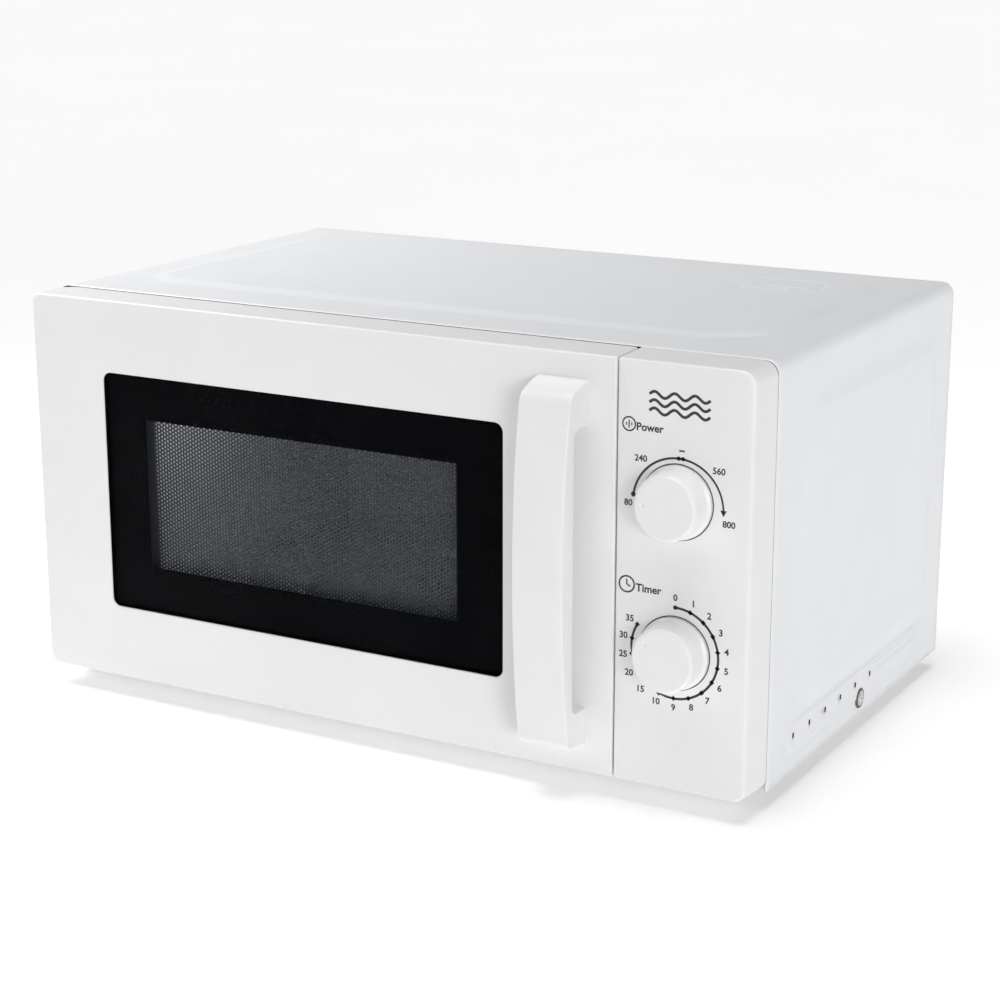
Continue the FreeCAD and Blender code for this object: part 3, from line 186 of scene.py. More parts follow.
def blend_colours(tree, factor, first, second):
    """Colour that runs from first to second with a number from 0 to 1."""
    mix = tree.nodes.new("ShaderNodeMix")
    mix.data_type = "RGBA"
    mix.inputs["A"].default_value = (*first, 1)
    mix.inputs["B"].default_value = (*second, 1)
    tree.links.new(factor, mix.inputs["Factor"])
    return mix.outputs["Result"]


def relief(tree, height, strength, depth):
    """Bump from a height, in metres of depth."""
    bump = tree.nodes.new("ShaderNodeBump")
    bump.inputs["Strength"].default_value = strength
    bump.inputs["Distance"].default_value = depth
    tree.links.new(height, bump.inputs["Height"])
    return bump.outputs["Normal"]


def make_finish(name, dark, light, rough, patch=25, grain=900, depth=2e-5, stretch=(1, 1, 1), metal=0.0,
                coat=0.0, strength=0.4):
    """Finish whose colour wanders in patches, and whose gloss and relief follow a fine grain."""
    material = bpy.data.materials.new(name)
    material.use_nodes = True
    tree = material.node_tree
    shader = tree.nodes["Principled BSDF"]
    patches = between(tree, noise(tree, patch, stretch), 0.0, 1.0)
    fine = noise(tree, grain, stretch, detail=1.0)
    links = tree.links
    links.new(blend_colours(tree, patches, dark, light), shader.inputs["Base Color"])
    links.new(between(tree, noise(tree, patch * 6, stretch), *rough), shader.inputs["Roughness"])
    links.new(relief(tree, fine, strength, depth), shader.inputs["Normal"])
    shader.inputs["Metallic"].default_value = metal
    shader.inputs["Coat Weight"].default_value = coat
    return material


def make_clear(name, tint, mirror=0.045, rough=0.02):
    """Thin clear sheet: it lets light straight through, and mirrors more the flatter it is seen.

    The mirrored share is mirror + (1 - mirror) * facing ** 5, where facing is 0 head on.
    """
    material = bpy.data.materials.new(name)
    material.use_nodes = True
    tree = material.node_tree
    tree.nodes.remove(tree.nodes["Principled BSDF"])
    facing = tree.nodes.new("ShaderNodeLayerWeight")
    power = tree.nodes.new("ShaderNodeMath")
    power.operation = "POWER"
    power.inputs[1].default_value = 5.0
    share = tree.nodes.new("ShaderNodeMapRange")
    share.inputs["To Min"].default_value = mirror
    through = tree.nodes.new("ShaderNodeBsdfTransparent")
    gloss = tree.nodes.new("ShaderNodeBsdfGlossy")
    mix = tree.nodes.new("ShaderNodeMixShader")
    through.inputs["Color"].default_value = (*tint, 1)
    links = tree.links
    links.new(facing.outputs["Facing"], power.inputs[0])
    links.new(power.outputs["Value"], share.inputs["Value"])
    links.new(between(tree, noise(tree, 40), rough, rough * 2), gloss.inputs["Roughness"])
    links.new(share.outputs["Result"], mix.inputs["Fac"])
    links.new(through.outputs["BSDF"], mix.inputs[1])
    links.new(gloss.outputs["BSDF"], mix.inputs[2])
    links.new(mix.outputs["Shader"], tree.nodes["Material Output"].inputs["Surface"])
    return material


# %% The finishes of this oven
white_paint = make_finish("white paint on steel", (0.79, 0.80, 0.82), (0.81, 0.82, 0.84), (0.32, 0.40),
                          grain=300, depth=1e-5, strength=0.15)
white_shell = make_finish("white glossy moulding", (0.80, 0.80, 0.805), (0.82, 0.82, 0.825), (0.30, 0.36),
                          grain=500, depth=2e-6, strength=0.1)
print_ink = make_finish("charcoal printing ink", (0.02, 0.02, 0.028), (0.035, 0.035, 0.045), (0.45, 0.6))
black_print = make_finish("black print behind glass", (0.002, 0.002, 0.0025), (0.004, 0.004, 0.0045),
                          (0.5, 0.6), grain=300, depth=1e-6, strength=0.05)
black_print.node_tree.nodes["Principled BSDF"].inputs["Specular IOR Level"].default_value = 0.05
# painted shade: near-black finish for the blocks in the air slots and the ring in the front joint
shade_black = make_finish("black for painted shade", (0.004, 0.004, 0.0045), (0.007, 0.007, 0.008), (0.6, 0.8),
                         grain=300, depth=1e-6, strength=0.05)
shade_black.node_tree.nodes["Principled BSDF"].inputs["Specular IOR Level"].default_value = 0.1
label_film = make_finish("white label film", (0.93, 0.93, 0.94), (0.96, 0.96, 0.97), (0.25, 0.35),
                         grain=400, depth=1e-6, strength=0.05)
window_glass = make_clear("clear window glass", (0.86, 0.87, 0.89), mirror=0.0)
clear_sheet = make_clear("clear plastic sheet", (0.93, 0.94, 0.94), mirror=0.02, rough=0.05)
tray_glass = make_clear("tray glass", (0.90, 0.955, 0.94), mirror=0.06)
lamp_glass = make_clear("lamp glass", (0.95, 0.93, 0.88), mirror=0.05)
screen_paint = make_finish("dark paint on the screen", (0.058, 0.060, 0.068), (0.072, 0.075, 0.084),
                           (0.4, 0.5), grain=600, depth=1e-6)
enamel = make_finish("light enamel", (0.60, 0.60, 0.585), (0.68, 0.68, 0.665), (0.25, 0.4), patch=700,
                     grain=700, depth=2e-5)
zinc = make_finish("zinc-coated steel", (0.42, 0.43, 0.44), (0.62, 0.63, 0.645), (0.28, 0.5), patch=90,
                   grain=600, metal=1.0)
bright_steel = make_finish("bright steel", (0.50, 0.50, 0.49), (0.68, 0.68, 0.67), (0.22, 0.36), patch=300,
                           grain=1500, metal=1.0)
dark_steel = make_finish("dark phosphated steel", (0.10, 0.10, 0.098), (0.17, 0.17, 0.165), (0.4, 0.55),
                         patch=300, grain=1500, metal=0.6)
nylon = make_finish("natural nylon", (0.78, 0.775, 0.75), (0.84, 0.835, 0.81), (0.4, 0.55), grain=1800)
choke_grey = make_finish("grey choke plastic", (0.50, 0.50, 0.51), (0.56, 0.56, 0.57), (0.42, 0.56),
                         grain=2000, depth=3e-5)
black_plastic = make_finish("black moulded plastic", (0.018, 0.018, 0.02), (0.035, 0.035, 0.038), (0.4, 0.6),
                            grain=2200, depth=3e-5)
rubber = make_finish("foot rubber", (0.02, 0.02, 0.02), (0.045, 0.044, 0.042), (0.7, 0.9), patch=200,
                     grain=2600, depth=6e-5)
mica = make_finish("mica sheet", (0.42, 0.37, 0.29), (0.66, 0.60, 0.49), (0.3, 0.6), patch=260, grain=500)
aluminium = make_finish("rolled aluminium", (0.66, 0.67, 0.68), (0.82, 0.83, 0.84), (0.2, 0.36), patch=120,
                        grain=900, stretch=(1, 1, 0.1), metal=1.0)
ferrite = make_finish("ferrite", (0.03, 0.03, 0.033), (0.07, 0.07, 0.075), (0.5, 0.7), patch=400)
copper = make_finish("enamelled copper wire", (0.42, 0.15, 0.06), (0.72, 0.33, 0.15), (0.25, 0.4), patch=60,
                     grain=1500, stretch=(0.05, 0.05, 1), depth=2e-4, metal=1.0, strength=0.8)
laminations = make_finish("steel laminations", (0.08, 0.08, 0.085), (0.30, 0.30, 0.31), (0.4, 0.6), patch=40,
                          grain=1200, stretch=(0.03, 1, 0.03), depth=1e-4, metal=0.7, strength=0.7)
lead_sleeve = make_finish("lead sleeve", (0.40, 0.02, 0.015), (0.52, 0.04, 0.03), (0.35, 0.5))
board = make_finish("paper laminate board", (0.42, 0.30, 0.13), (0.55, 0.42, 0.20), (0.5, 0.7), patch=150)

# %% [markdown]
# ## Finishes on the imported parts
#
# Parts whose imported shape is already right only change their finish.

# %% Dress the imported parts
dress = {
    enamel: ("oven_cavity", "front_plate"),
    zinc: ("base_plate", "rear_panel", "waveguide", "magnetron_yoke", "magnetron_filter_box", "lower_hinge",
           "upper_hinge", "control_bracket", "capacitor_clamp", "timer_bell"),
    bright_steel: ("handle_screws", "transformer_bolts", "latch_spring", "fan_shaft", "power_shaft",
                   "timer_shaft"),
    nylon: ("door_latch", "latch_frame", "roller_ring", "tray_roller_1", "tray_roller_2", "tray_roller_3",
            "turntable_coupler", "fan_shroud", "fan_blade"),
    choke_grey: ("choke_cover",),
    black_plastic: ("cord_gland", "interlock_switches", "power_unit", "timer_unit", "thermal_cutout",
                    "hv_diode", "lamp_holder", "turntable_motor"),
    mica: ("waveguide_cover",),
    aluminium: ("magnetron_fins", "hv_capacitor"),
    ferrite: ("magnetron_magnets",),
    copper: ("magnetron_anode", "transformer_windings"),
    laminations: ("transformer_core", "fan_motor"),
    lead_sleeve: ("wiring_loom",),
    board: ("filter_board",),
    lamp_glass: ("lamp_bulb", "line_fuse"),
    clear_sheet: ("inner_window",),
}
for finish, names in dress.items():
    for name in names:
        for material_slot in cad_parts[name].material_slots:
            material_slot.material = finish
print("dressed parts:", sum(len(names) for names in dress.values()))

# %% [markdown]
# ## The cabinet's sheet
#
# The top and both sides are one folded sheet with three pressed panels, a shallow pressed strip
# round the air slots, and a lip at the back. The sheet is a grid: one direction follows the fold
# (up the left side, over the top, down the right side), the other runs from front to back. Each
# point moves out along the sheet's normal by the height of the pressing there.

# %% Lines of the sheet's grid
_, _, _, WRAP_BACK, WRAP_BOTTOM, _ = limits("outer_wrap")
WRAP_HALF = 226.0
WRAP_TOP = 237.0
WRAP_FRONT = 25.1
SHEET = 0.8                     # thickness of the steel
FOLD = 7.0                      # radius of the folds between top and sides
LIP = 9.0                       # how far the sheet turns in at the back
PRESSED_OUT = 1.5               # height of the pressed panels
SLOTS = 59.0 + 22.5 * np.arange(6)     # how far back each air slot is
SLOT_HALF = 1.3
SLOT_Z = (29.4, 32.6)
# the top's pressing is given by left, right, front and back, a side's by front, back, bottom and top
TOP_PANEL = (-199, 199, 62, 262)
SIDE_PANEL = (67, 262, 41, 212)
SLOT_STRIP = (51, 251, 20.5, 39)
LOW_RIB, HIGH_RIB = (178, 249, 24.6, 31.8), (176, 232, 33.2, 36.0)


def lines(*stretches):
    """Grid lines from (start, end, spacing) stretches and single values, sorted, with no doubles."""
    found = [np.linspace(s[0], s[1], max(2, int(round((s[1] - s[0]) / s[2])) + 1)) for s in stretches]
    return np.unique(np.round(np.concatenate(found), 3))


depth_lines = lines((WRAP_FRONT, 50, 5), (50, 54, 0.8), (54, 96, 1.6), (96, 176, 8), (176, 184, 1),
                    (184, 222, 8), (222, 264, 1.2), (264, 287, 5),
                    *[(y - SLOT_HALF, y + SLOT_HALF, 2 * SLOT_HALF) for y in SLOTS])
side_lines = lines((WRAP_BOTTOM, 20, 4.5), (20, 22.4, 0.6), (24.6, 25.8, 0.6), (*SLOT_Z, 3.2),
                   (30.6, 31.8, 0.6), (33.2, 34.4, 0.6), (34.8, 36, 0.6), (36, 39, 0.75), (39, 66, 1.2),
                   (66, 190, 10), (190, 212, 1.5), (212, 230, 6))
top_lines = lines((-219, -199, 7), (-199, -150, 1.7), (-150, 150, 12), (150, 199, 1.7), (199, 219, 7))

# %% Pressed panels


def inside(u, v, u0, u1, v0, v1, radius):
    """How far a point lies inside a rectangle with round corners; below 0 outside.

    With q the distance past the straight part of each side, it is
    radius - |max(q, 0)| - min(max(qu, qv), 0).
    """
    qu = np.abs(u - (u0 + u1) / 2) - (u1 - u0) / 2 + radius
    qv = np.abs(v - (v0 + v1) / 2) - (v1 - v0) / 2 + radius
    return radius - np.hypot(np.maximum(qu, 0), np.maximum(qv, 0)) - np.minimum(np.maximum(qu, qv), 0)


def pressed(distance, slope, height):
    """Smooth step from 0 at the pressing's edge to its height one slope further in."""
    return height * (0.5 - 0.5 * np.cos(np.pi * np.clip(distance / slope, 0, 1)))


def top_height(x, y):
    """Pressed panel of the top: its front right corner is rounder, and its front slope is 11 mm wide."""
    radius = np.where((x > 0) & (y < 160), 40.0, 28.0)
    slope, front_slope = 8.0, 11.0
    knee = TOP_PANEL[2] + slope
    squeezed = np.where(y < knee, knee + (y - knee) * slope / front_slope, y)
    return PRESSED_OUT * np.clip(inside(x, squeezed, *TOP_PANEL, radius) / slope, 0, 1) ** 1.1


def side_height(z, y):
    """Pressed panel of a side, the low strip round the air slots, and two ribs behind the last slot.

    The panel's front slope is 14 mm wide and the others are 9 mm: the place is squeezed there by the
    ratio of the two before the distance is taken, and the slopes are flat, with crisp edges.
    """
    slope, front_slope = 9.0, 14.0
    knee = SIDE_PANEL[0] + slope
    squeezed = np.where(y < knee, knee + (y - knee) * slope / front_slope, y)
    panel = PRESSED_OUT * np.clip(inside(squeezed, z, *SIDE_PANEL, 14.0) / slope, 0, 1)
    strip = pressed(inside(y, z, *SLOT_STRIP, 9.0), 1.6, 0.5)
    ribs = (pressed(inside(y, z, *LOW_RIB, 3.5), 1.2, 0.4)
            + pressed(inside(y, z, *HIGH_RIB, 1.4), 1.0, 0.4))
    return panel + strip + ribs


# %% Fold the sheet
angles = np.radians(np.linspace(90, 0, 9))[1:-1]
turn_x, turn_z = np.cos(angles), np.sin(angles)
ones = np.ones_like
fold_centre = WRAP_HALF - FOLD
right_half = np.concatenate([
    np.stack([top_lines, WRAP_TOP + 0 * top_lines, 0 * top_lines, ones(top_lines)], 1),
    np.stack([fold_centre + FOLD * turn_x, WRAP_TOP - FOLD + FOLD * turn_z, turn_x, turn_z], 1),
    np.stack([WRAP_HALF + 0 * side_lines, side_lines, ones(side_lines), 0 * side_lines], 1)[::-1],
])
left_half = (right_half[len(top_lines):] * (-1, 1, -1, 1))[::-1]
fold = np.concatenate([left_half, right_half])


def lip_line(inset):
    """The fold line drawn an inset inside the sheet; the folds' radius shrinks to nearly nothing."""
    straight = fold[:, :2] - inset * fold[:, 2:]
    radius = max(FOLD - inset, 0.3)
    centre = np.array([np.sign(fold[:, 0]) * (WRAP_HALF - inset - radius),
                       np.full(len(fold), WRAP_TOP - inset - radius)]).T
    bent = (np.abs(fold[:, 2]) > 0.01) & (np.abs(fold[:, 3]) > 0.01)
    line = np.where(bent[:, None], centre + radius * fold[:, 2:], straight)
    limit = np.abs(centre)
    flat_top = (fold[:, 3] > 0.99)
    flat_side = np.abs(fold[:, 2]) > 0.99
    line[flat_top, 0] = np.clip(line[flat_top, 0], -limit[flat_top, 0], limit[flat_top, 0])
    line[flat_side, 1] = np.minimum(line[flat_side, 1], centre[flat_side, 1])
    return line


def sheet_row(y):
    """Points of the sheet at one depth, pushed out along the normal by the pressings."""
    x, z, nx, nz = fold.T
    height = np.where(nz > 0.99, top_height(x, y), np.where(np.abs(nx) > 0.99, side_height(z, y), 0.0))
    return np.stack([x + nx * height, np.full_like(x, y), z + nz * height], 1)


rows = [sheet_row(y) for y in depth_lines]
for inset, y in ((0.3, WRAP_BACK - 0.3), (1.0, WRAP_BACK), (LIP, WRAP_BACK)):
    line = lip_line(inset)
    rows.append(np.stack([line[:, 0], np.full(len(line), y), line[:, 1]], 1))
wrap_points = np.array(rows)
wrap_faces = weave(*wrap_points.shape[:2], close_columns=False)
middle = wrap_points.reshape(-1, 3)[wrap_faces].mean(1)
in_slot = (np.abs(middle[:, 1][:, None] - SLOTS) < SLOT_HALF).any(1)
in_slot &= (middle[:, 2] > SLOT_Z[0]) & (middle[:, 2] < SLOT_Z[1])
in_slot &= np.abs(middle[:, 0]) > WRAP_HALF - 1
wrap = make_piece("cabinet_wrap", (wrap_points.reshape(-1, 3), wrap_faces[~in_slot].tolist()),
                  "cabinet", white_paint, ["outer_wrap"], sharp=50, solid=False)
wall = wrap.modifiers.new("sheet thickness", "SOLIDIFY")
wall.thickness = SHEET * MM
wall.offset = -1.0

# %% [markdown]
# ## Outlines with round corners
#
# The door, the window, the pan behind it and the control panel are all rectangles with round
# corners that change a little from one depth to the next. Stacking such outlines gives their walls,
# edges and recesses in one closed skin.

# %% One outline


def outline(left, right, bottom, top, y, radii=1.0, marks=(), turns=6):
    """Rectangle with round corners, as seen from the front, anticlockwise from its lower right corner.

    A corner is its centre plus radius * (cos a, sin a) over a quarter turn. Marks are extra heights
    on the left side, kept inside its straight part.
    """
    radius = np.broadcast_to(np.asarray(radii, float), 4)[:, None]
    centre_x = np.array([right, right, left, left])[:, None] + radius * [[-1], [-1], [1], [1]]
    centre_z = np.array([bottom, top, top, bottom])[:, None] + radius * [[1], [-1], [-1], [1]]
    angle = np.radians([[-90], [0], [90], [180]]) + np.linspace(0, np.pi / 2, turns + 1)
    x = (centre_x + radius * np.cos(angle)).ravel()
    z = (centre_z + radius * np.sin(angle)).ravel()
    if len(marks):
        spots = np.clip(sorted(marks, reverse=True), centre_z[3, 0], centre_z[2, 0])
        at = 3 * (turns + 1)
        x, z = np.insert(x, at, [left] * len(marks)), np.insert(z, at, spots)
    return np.stack([x, np.full_like(x, y), z], 1)


def grown(rectangle, by):
    """Rectangle (left, right, bottom, top) made larger on every side."""
    left, right, bottom, top = rectangle
    return left - by, right + by, bottom - by, top + by


def middle_of(ring):
    """A ring shrunk to its centre, which closes a skin when its points are welded."""
    return np.broadcast_to((ring.max(0) + ring.min(0)) / 2, ring.shape)


def closed_plate(rings):
    """Skin of stacked outlines with both ends filled."""
    return skin([middle_of(rings[0]), *rings, middle_of(rings[-1])])


def edge_inset(depth, radius):
    """How far a rounded edge lies inside its wall: radius - sqrt(radius^2 - (radius - depth)^2)."""
    rest = np.clip(radius - depth, 0, radius)
    return radius - np.sqrt(radius ** 2 - rest ** 2)


# %% [markdown]
# ## The door
#
# The front moulding is one skin: front face, rounded edges, walls, rear rim, the inside of the
# shell, the ledge that the glass lies on, and back to the front face. Its hinged end is rounded
# about the pin, and has a slot for each hinge bracket.

# %% Door moulding
GLASS = limits("door_glass")
GLASS = grown((GLASS[0], GLASS[1], GLASS[4], GLASS[5]), 0.2)
GLASS_CORNER = 5.0
HINGE_SLOTS = [(19.4, 22.2), (223.4, 226.2)]
SLOT_MARKS = [z for pair in HINGE_SLOTS for z in pair]
FACE_DEPTHS = np.array([0, 0.1, 0.4, 0.88, 1.5, 2.2, 3.0, 4.6, 13.6, 17, 19.6, 21.4, 22.6, 23.3, DOOR_BACK])


def draft(y):
    """How much lower and higher than the front face the walls are at a depth."""
    return y / 24.6


def door_left(y):
    """Left side of the door's plan: a 3 mm edge in front, an arc of 10 mm about the hinge behind."""
    swing = -215.5 - 10.5 * np.sqrt(np.clip(1 - ((y - 13.6) / 10) ** 2, 0, 1))
    return np.where(y > 13.6, swing, DOOR_LEFT + edge_inset(y, 3.0))


DOOR_RADII = (1.2, 1.2, 6.0, 6.0)
shell_rings = [outline(float(door_left(y)), DOOR_RIGHT - edge_inset(y, 1.0),
                       BOTTOM - 0.5 * draft(y) + edge_inset(y, 1.4), TOP + draft(y) - edge_inset(y, 1.4),
                       y, DOOR_RADII, SLOT_MARKS) for y in FACE_DEPTHS]
INNER = (-210.0, DOOR_RIGHT - 2.5, BOTTOM + 2.5, TOP - 2.5)
inner_steps = [(INNER, 3.5, DOOR_BACK), (INNER, 3.5, 2.5),
               (grown(GLASS, 4), GLASS_CORNER + 4, 2.5), (grown(GLASS, 4), GLASS_CORNER + 4, 5.4),
               (grown(GLASS, -6), 2.0, 5.4), (grown(GLASS, -6), 2.0, 3.4), (GLASS, GLASS_CORNER, 3.4),
               (GLASS, GLASS_CORNER, 0.9), (grown(GLASS, 0.12), GLASS_CORNER + 0.1, 0.4),
               (grown(GLASS, 0.4), GLASS_CORNER + 0.4, 0.12), (grown(GLASS, 0.9), GLASS_CORNER + 0.9, 0.0)]
inner_rings = [outline(*box, y, radius, SLOT_MARKS) for box, radius, y in inner_steps]
door_rings = np.array(shell_rings + inner_rings)
door_faces = weave(*door_rings.shape[:2], close_rows=True)
middle = door_rings.reshape(-1, 3)[door_faces].mean(1)
cut = np.zeros(len(middle), bool)
for low, high in HINGE_SLOTS:
    cut |= (middle[:, 2] > low) & (middle[:, 2] < high) & (middle[:, 0] < -211) & (middle[:, 1] > 4.6)
make_piece("door_moulding", (door_rings.reshape(-1, 3), door_faces[~cut].tolist()), "door",
           white_shell, ["door_frame"], sharp=40)

# %% [markdown]
# ## The window
#
# A clear pane with a black border printed on its back and round its edge. Behind it a folded steel pan
# holds the perforated screen that keeps the microwaves in. The screen is a honeycomb of six-sided cells,
# each with a six-sided hole, welded together. Cutting thousands of round holes would take far longer,
# and at this size a hole of six sides reads as round.

# %% Pane and its printed border
PANE_FRONT, PANE_BACK = 0.3, 3.3
CLEAR = (-149.0, 55.0, 82.2, 169.0)     # the part of the pane that isn't printed
PRINT_FRONT, PRINT_BACK = 0.7, 3.38     # depths that the print runs between, round the pane's edge
pane = grown(GLASS, -0.2)
make_piece("window_pane", closed_plate([outline(*grown(pane, -0.3), PANE_FRONT, 4.5),
                                        outline(*pane, PANE_FRONT + 0.3, 4.8),
                                        outline(*pane, PANE_BACK, 4.8)]),
           "door", window_glass, ["door_glass"])
touching, outside = grown(pane, 0.04), grown(pane, 0.1)
border = [outline(*touching, PRINT_FRONT, 4.84), outline(*touching, PRINT_BACK - 0.05, 4.84),
          outline(*CLEAR, PRINT_BACK - 0.05, 0.8), outline(*CLEAR, PRINT_BACK, 0.8),
          outline(*outside, PRINT_BACK, 4.9), outline(*outside, PRINT_FRONT, 4.9)]
make_piece("window_print", skin(border, close_rows=True), "door", black_print)

# %% Pan behind the window
pan_box = limits("choke_panel")
PAN = (pan_box[0], pan_box[1], pan_box[4], pan_box[5])
well_box = limits("inner_window")
WELL = grown((well_box[0], well_box[1], well_box[4], well_box[5]), 0.2)
OPEN = (-149.5, 60.0, 77.5, 172.5)
pan_steps = [(PAN, 4, 12), (PAN, 4, 20.2), (grown(PAN, -0.24), 3.8, 20.77), (grown(PAN, -0.8), 3.2, 21),
             (grown(WELL, 0.8), 6.8, 21), (grown(WELL, 0.24), 6.2, 20.8), (WELL, 6, 20.2), (WELL, 6, 12.6),
             (grown(WELL, -0.24), 5.8, 12.0), (grown(WELL, -0.8), 5.2, 11.8), (OPEN, 1, 11.8),
             (OPEN, 1, 11.0), (grown(WELL, -0.2), 5.8, 11.0), (grown(WELL, 0.6), 6.6, 11.3),
             (grown(WELL, 0.8), 6.8, 12), (grown(WELL, 0.8), 6.8, 20.2), (grown(PAN, -0.8), 3.2, 20.2),
             (grown(PAN, -0.8), 3.2, 12)]
make_piece("door_pan", skin([outline(*box, y, radius) for box, radius, y in pan_steps], close_rows=True),
           "door", screen_paint, ["choke_panel"])

# %% Perforated screen
PITCH = 2.3
HOLE_R = 0.80
SCREEN_Y = 11.85
columns = np.arange(OPEN[0] - 1, OPEN[1] + 2, PITCH * math.sqrt(3) / 2)
heights = np.arange(OPEN[2] - 1, OPEN[3] + 2, PITCH)
cell_x, cell_z = np.meshgrid(columns, heights, indexing="ij")
cell_z = cell_z + (np.arange(len(columns)) % 2)[:, None] * PITCH / 2
six = np.radians(60 * np.arange(6))
rim = np.stack([np.cos(six), np.sin(six)], 1)
unit = np.concatenate([rim * PITCH / math.sqrt(3), rim * HOLE_R])
flat = np.stack([cell_x.ravel(), cell_z.ravel()], 1)[:, None, :] + unit
screen_points = np.stack([flat[..., 0], np.full(flat.shape[:2], SCREEN_Y), flat[..., 1]], -1).reshape(-1, 3)
step = (np.arange(6) + 1) % 6
cell_faces = np.stack([np.arange(6), step, step + 6, np.arange(6) + 6], 1)
screen_faces = (12 * np.arange(cell_x.size))[:, None, None] + cell_faces
screen = make_piece("door_screen", (screen_points, screen_faces.reshape(-1, 4).tolist()), "door",
                    screen_paint, solid=False, smooth=False)
sheet = screen.modifiers.new("screen thickness", "SOLIDIFY")
sheet.thickness = 0.3 * MM
sheet.offset = 1.0
print("holes in the screen:", cell_x.size)

# %% [markdown]
# ## The handle
#
# A bow: one curve runs over its outside, another round the finger gap. Between the two, a section
# with rounded edges is carried from the lower foot to the upper one.

# %% Curves of the bow


def arc(start, through, end, count):
    """Points of the circle through three points; its centre is where their bisectors meet."""
    (ax, ay), (bx, by), (cx, cy) = start, through, end
    d = 2 * (ax * (by - cy) + bx * (cy - ay) + cx * (ay - by))
    a2, b2, c2 = ax * ax + ay * ay, bx * bx + by * by, cx * cx + cy * cy
    ox = (a2 * (by - cy) + b2 * (cy - ay) + c2 * (ay - by)) / d
    oy = (a2 * (cx - bx) + b2 * (ax - cx) + c2 * (bx - ax)) / d
    first, middle, last = (math.atan2(y - oy, x - ox) for x, y in (start, through, end))
    span = (last - first) % (2 * math.pi)
    if (middle - first) % (2 * math.pi) > span:
        span -= 2 * math.pi
    angle = first + span * np.linspace(0, 1, count)
    radius = math.hypot(ax - ox, ay - oy)
    return np.stack([ox + radius * np.cos(angle), oy + radius * np.sin(angle)], 1)


def straight(start, end, count):
    """Evenly spaced points from one point to another."""
    return np.linspace(start, end, count)


seat = -0.05                    # the feet stand this far in front of the door's face
# both curves run from the lower foot to the upper one, as (depth, height)
outer_bow = np.concatenate([
    straight((seat, 28.5), (-16.2, 30.6), 6),
    arc((-16.2, 30.6), (-19.3, 32.6), (-20.5, 36), 8),
    arc((-20.5, 36), (-27.5, 123), (-20.5, 210), 40),
    arc((-20.5, 210), (-19.3, 214.4), (-16.5, 217.8), 8),
    arc((-16.5, 217.8), (-9.0, 220.9), (seat, 222.9), 8)])
inner_bow = np.concatenate([
    straight((seat, 48.5), (-9, 48.5), 6),
    arc((-9, 48.5), (-13.24, 50.26), (-15, 54.5), 8),
    straight((-15, 54.5), (-15, 193.5), 40),
    arc((-15, 193.5), (-13.24, 197.74), (-9, 199.5), 10),
    straight((-9, 199.5), (seat, 199.5), 6)])
HANDLE_LEFT, HANDLE_RIGHT = limits("handle")[:2]
HANDLE_EDGE = 1.2


# %% Carry the section along the bow
quarter = np.radians(np.linspace(0, 90, 6))
near, far = HANDLE_EDGE * (1 - np.cos(quarter)), HANDLE_EDGE * (1 - np.sin(quarter))
# one turn round the section: up the left edge, over the outside, down the right edge, along the inside
across = np.concatenate([HANDLE_LEFT + near, HANDLE_RIGHT - near[::-1],
                         HANDLE_RIGHT - near, HANDLE_LEFT + near[::-1]])
from_outside = np.concatenate([far, far[::-1], -far, -far[::-1]])
is_inside = np.repeat([0, 1], 2 * len(quarter))
band = np.linalg.norm(inner_bow - outer_bow, axis=1)[:, None]
share = (from_outside + is_inside * band) / band
curve = outer_bow[:, None, :] + share[..., None] * (inner_bow - outer_bow)[:, None, :]
bow = np.stack([np.broadcast_to(across, share.shape), curve[..., 0], curve[..., 1]], -1)
make_piece("door_handle", closed_plate(list(bow)), "door", white_shell, ["handle"],
           sharp=45)

# %% [markdown]
# ## The control panel
#
# The same kind of skin as the door: a face with rounded edges and walls, open at the back.

# %% Control panel moulding
PANEL_DEPTHS = np.array([0, 0.1, 0.4, 0.88, 1.5, 2.2, 3.0, 12.0, PANEL_BACK])
panel_rings = [outline(PANEL_LEFT + edge_inset(y, 1.0),
                       PANEL_RIGHT - 1.5 + 1.5 * draft(y) - edge_inset(y, 2.2),
                       BOTTOM - 0.5 * draft(y) + edge_inset(y, 1.4), TOP + draft(y) - edge_inset(y, 1.4),
                       y, (6.0, 8.0, 1.2, 1.2)) for y in PANEL_DEPTHS]
PANEL_INNER = (PANEL_LEFT + 2.5, PANEL_RIGHT - 4.0, BOTTOM + 2.5, TOP - 2.5)
panel_inner = [outline(*PANEL_INNER, y, (3.5, 5.5, 1.0, 1.0)) for y in (PANEL_BACK, 2.5)]
make_piece("control_moulding", closed_plate(panel_rings + panel_inner), "cabinet",
           white_shell, ["control_panel"], sharp=40)

# %% [markdown]
# ## The knobs
#
# A knob is a profile turned about its shaft: a wide base ring, a slightly tapered body and a flat
# face with a soft edge. A small round dimple near the edge of the face is the pointer.

# %% Turn a profile


def turned(profile, steps, x, z):
    """Surface of revolution about a line along Y: (x + r cos a, y, z + r sin a)."""
    radius, y = np.asarray(profile, float).T
    angle = np.linspace(0, 2 * np.pi, steps, endpoint=False)
    return np.stack([x + radius[:, None] * np.cos(angle), np.broadcast_to(y[:, None], (len(y), steps)),
                     z + radius[:, None] * np.sin(angle)], -1)


DIMPLE_AT, DIMPLE_DEEP = 11.8, 0.7      # the pointer's distance from the shaft, and its depth


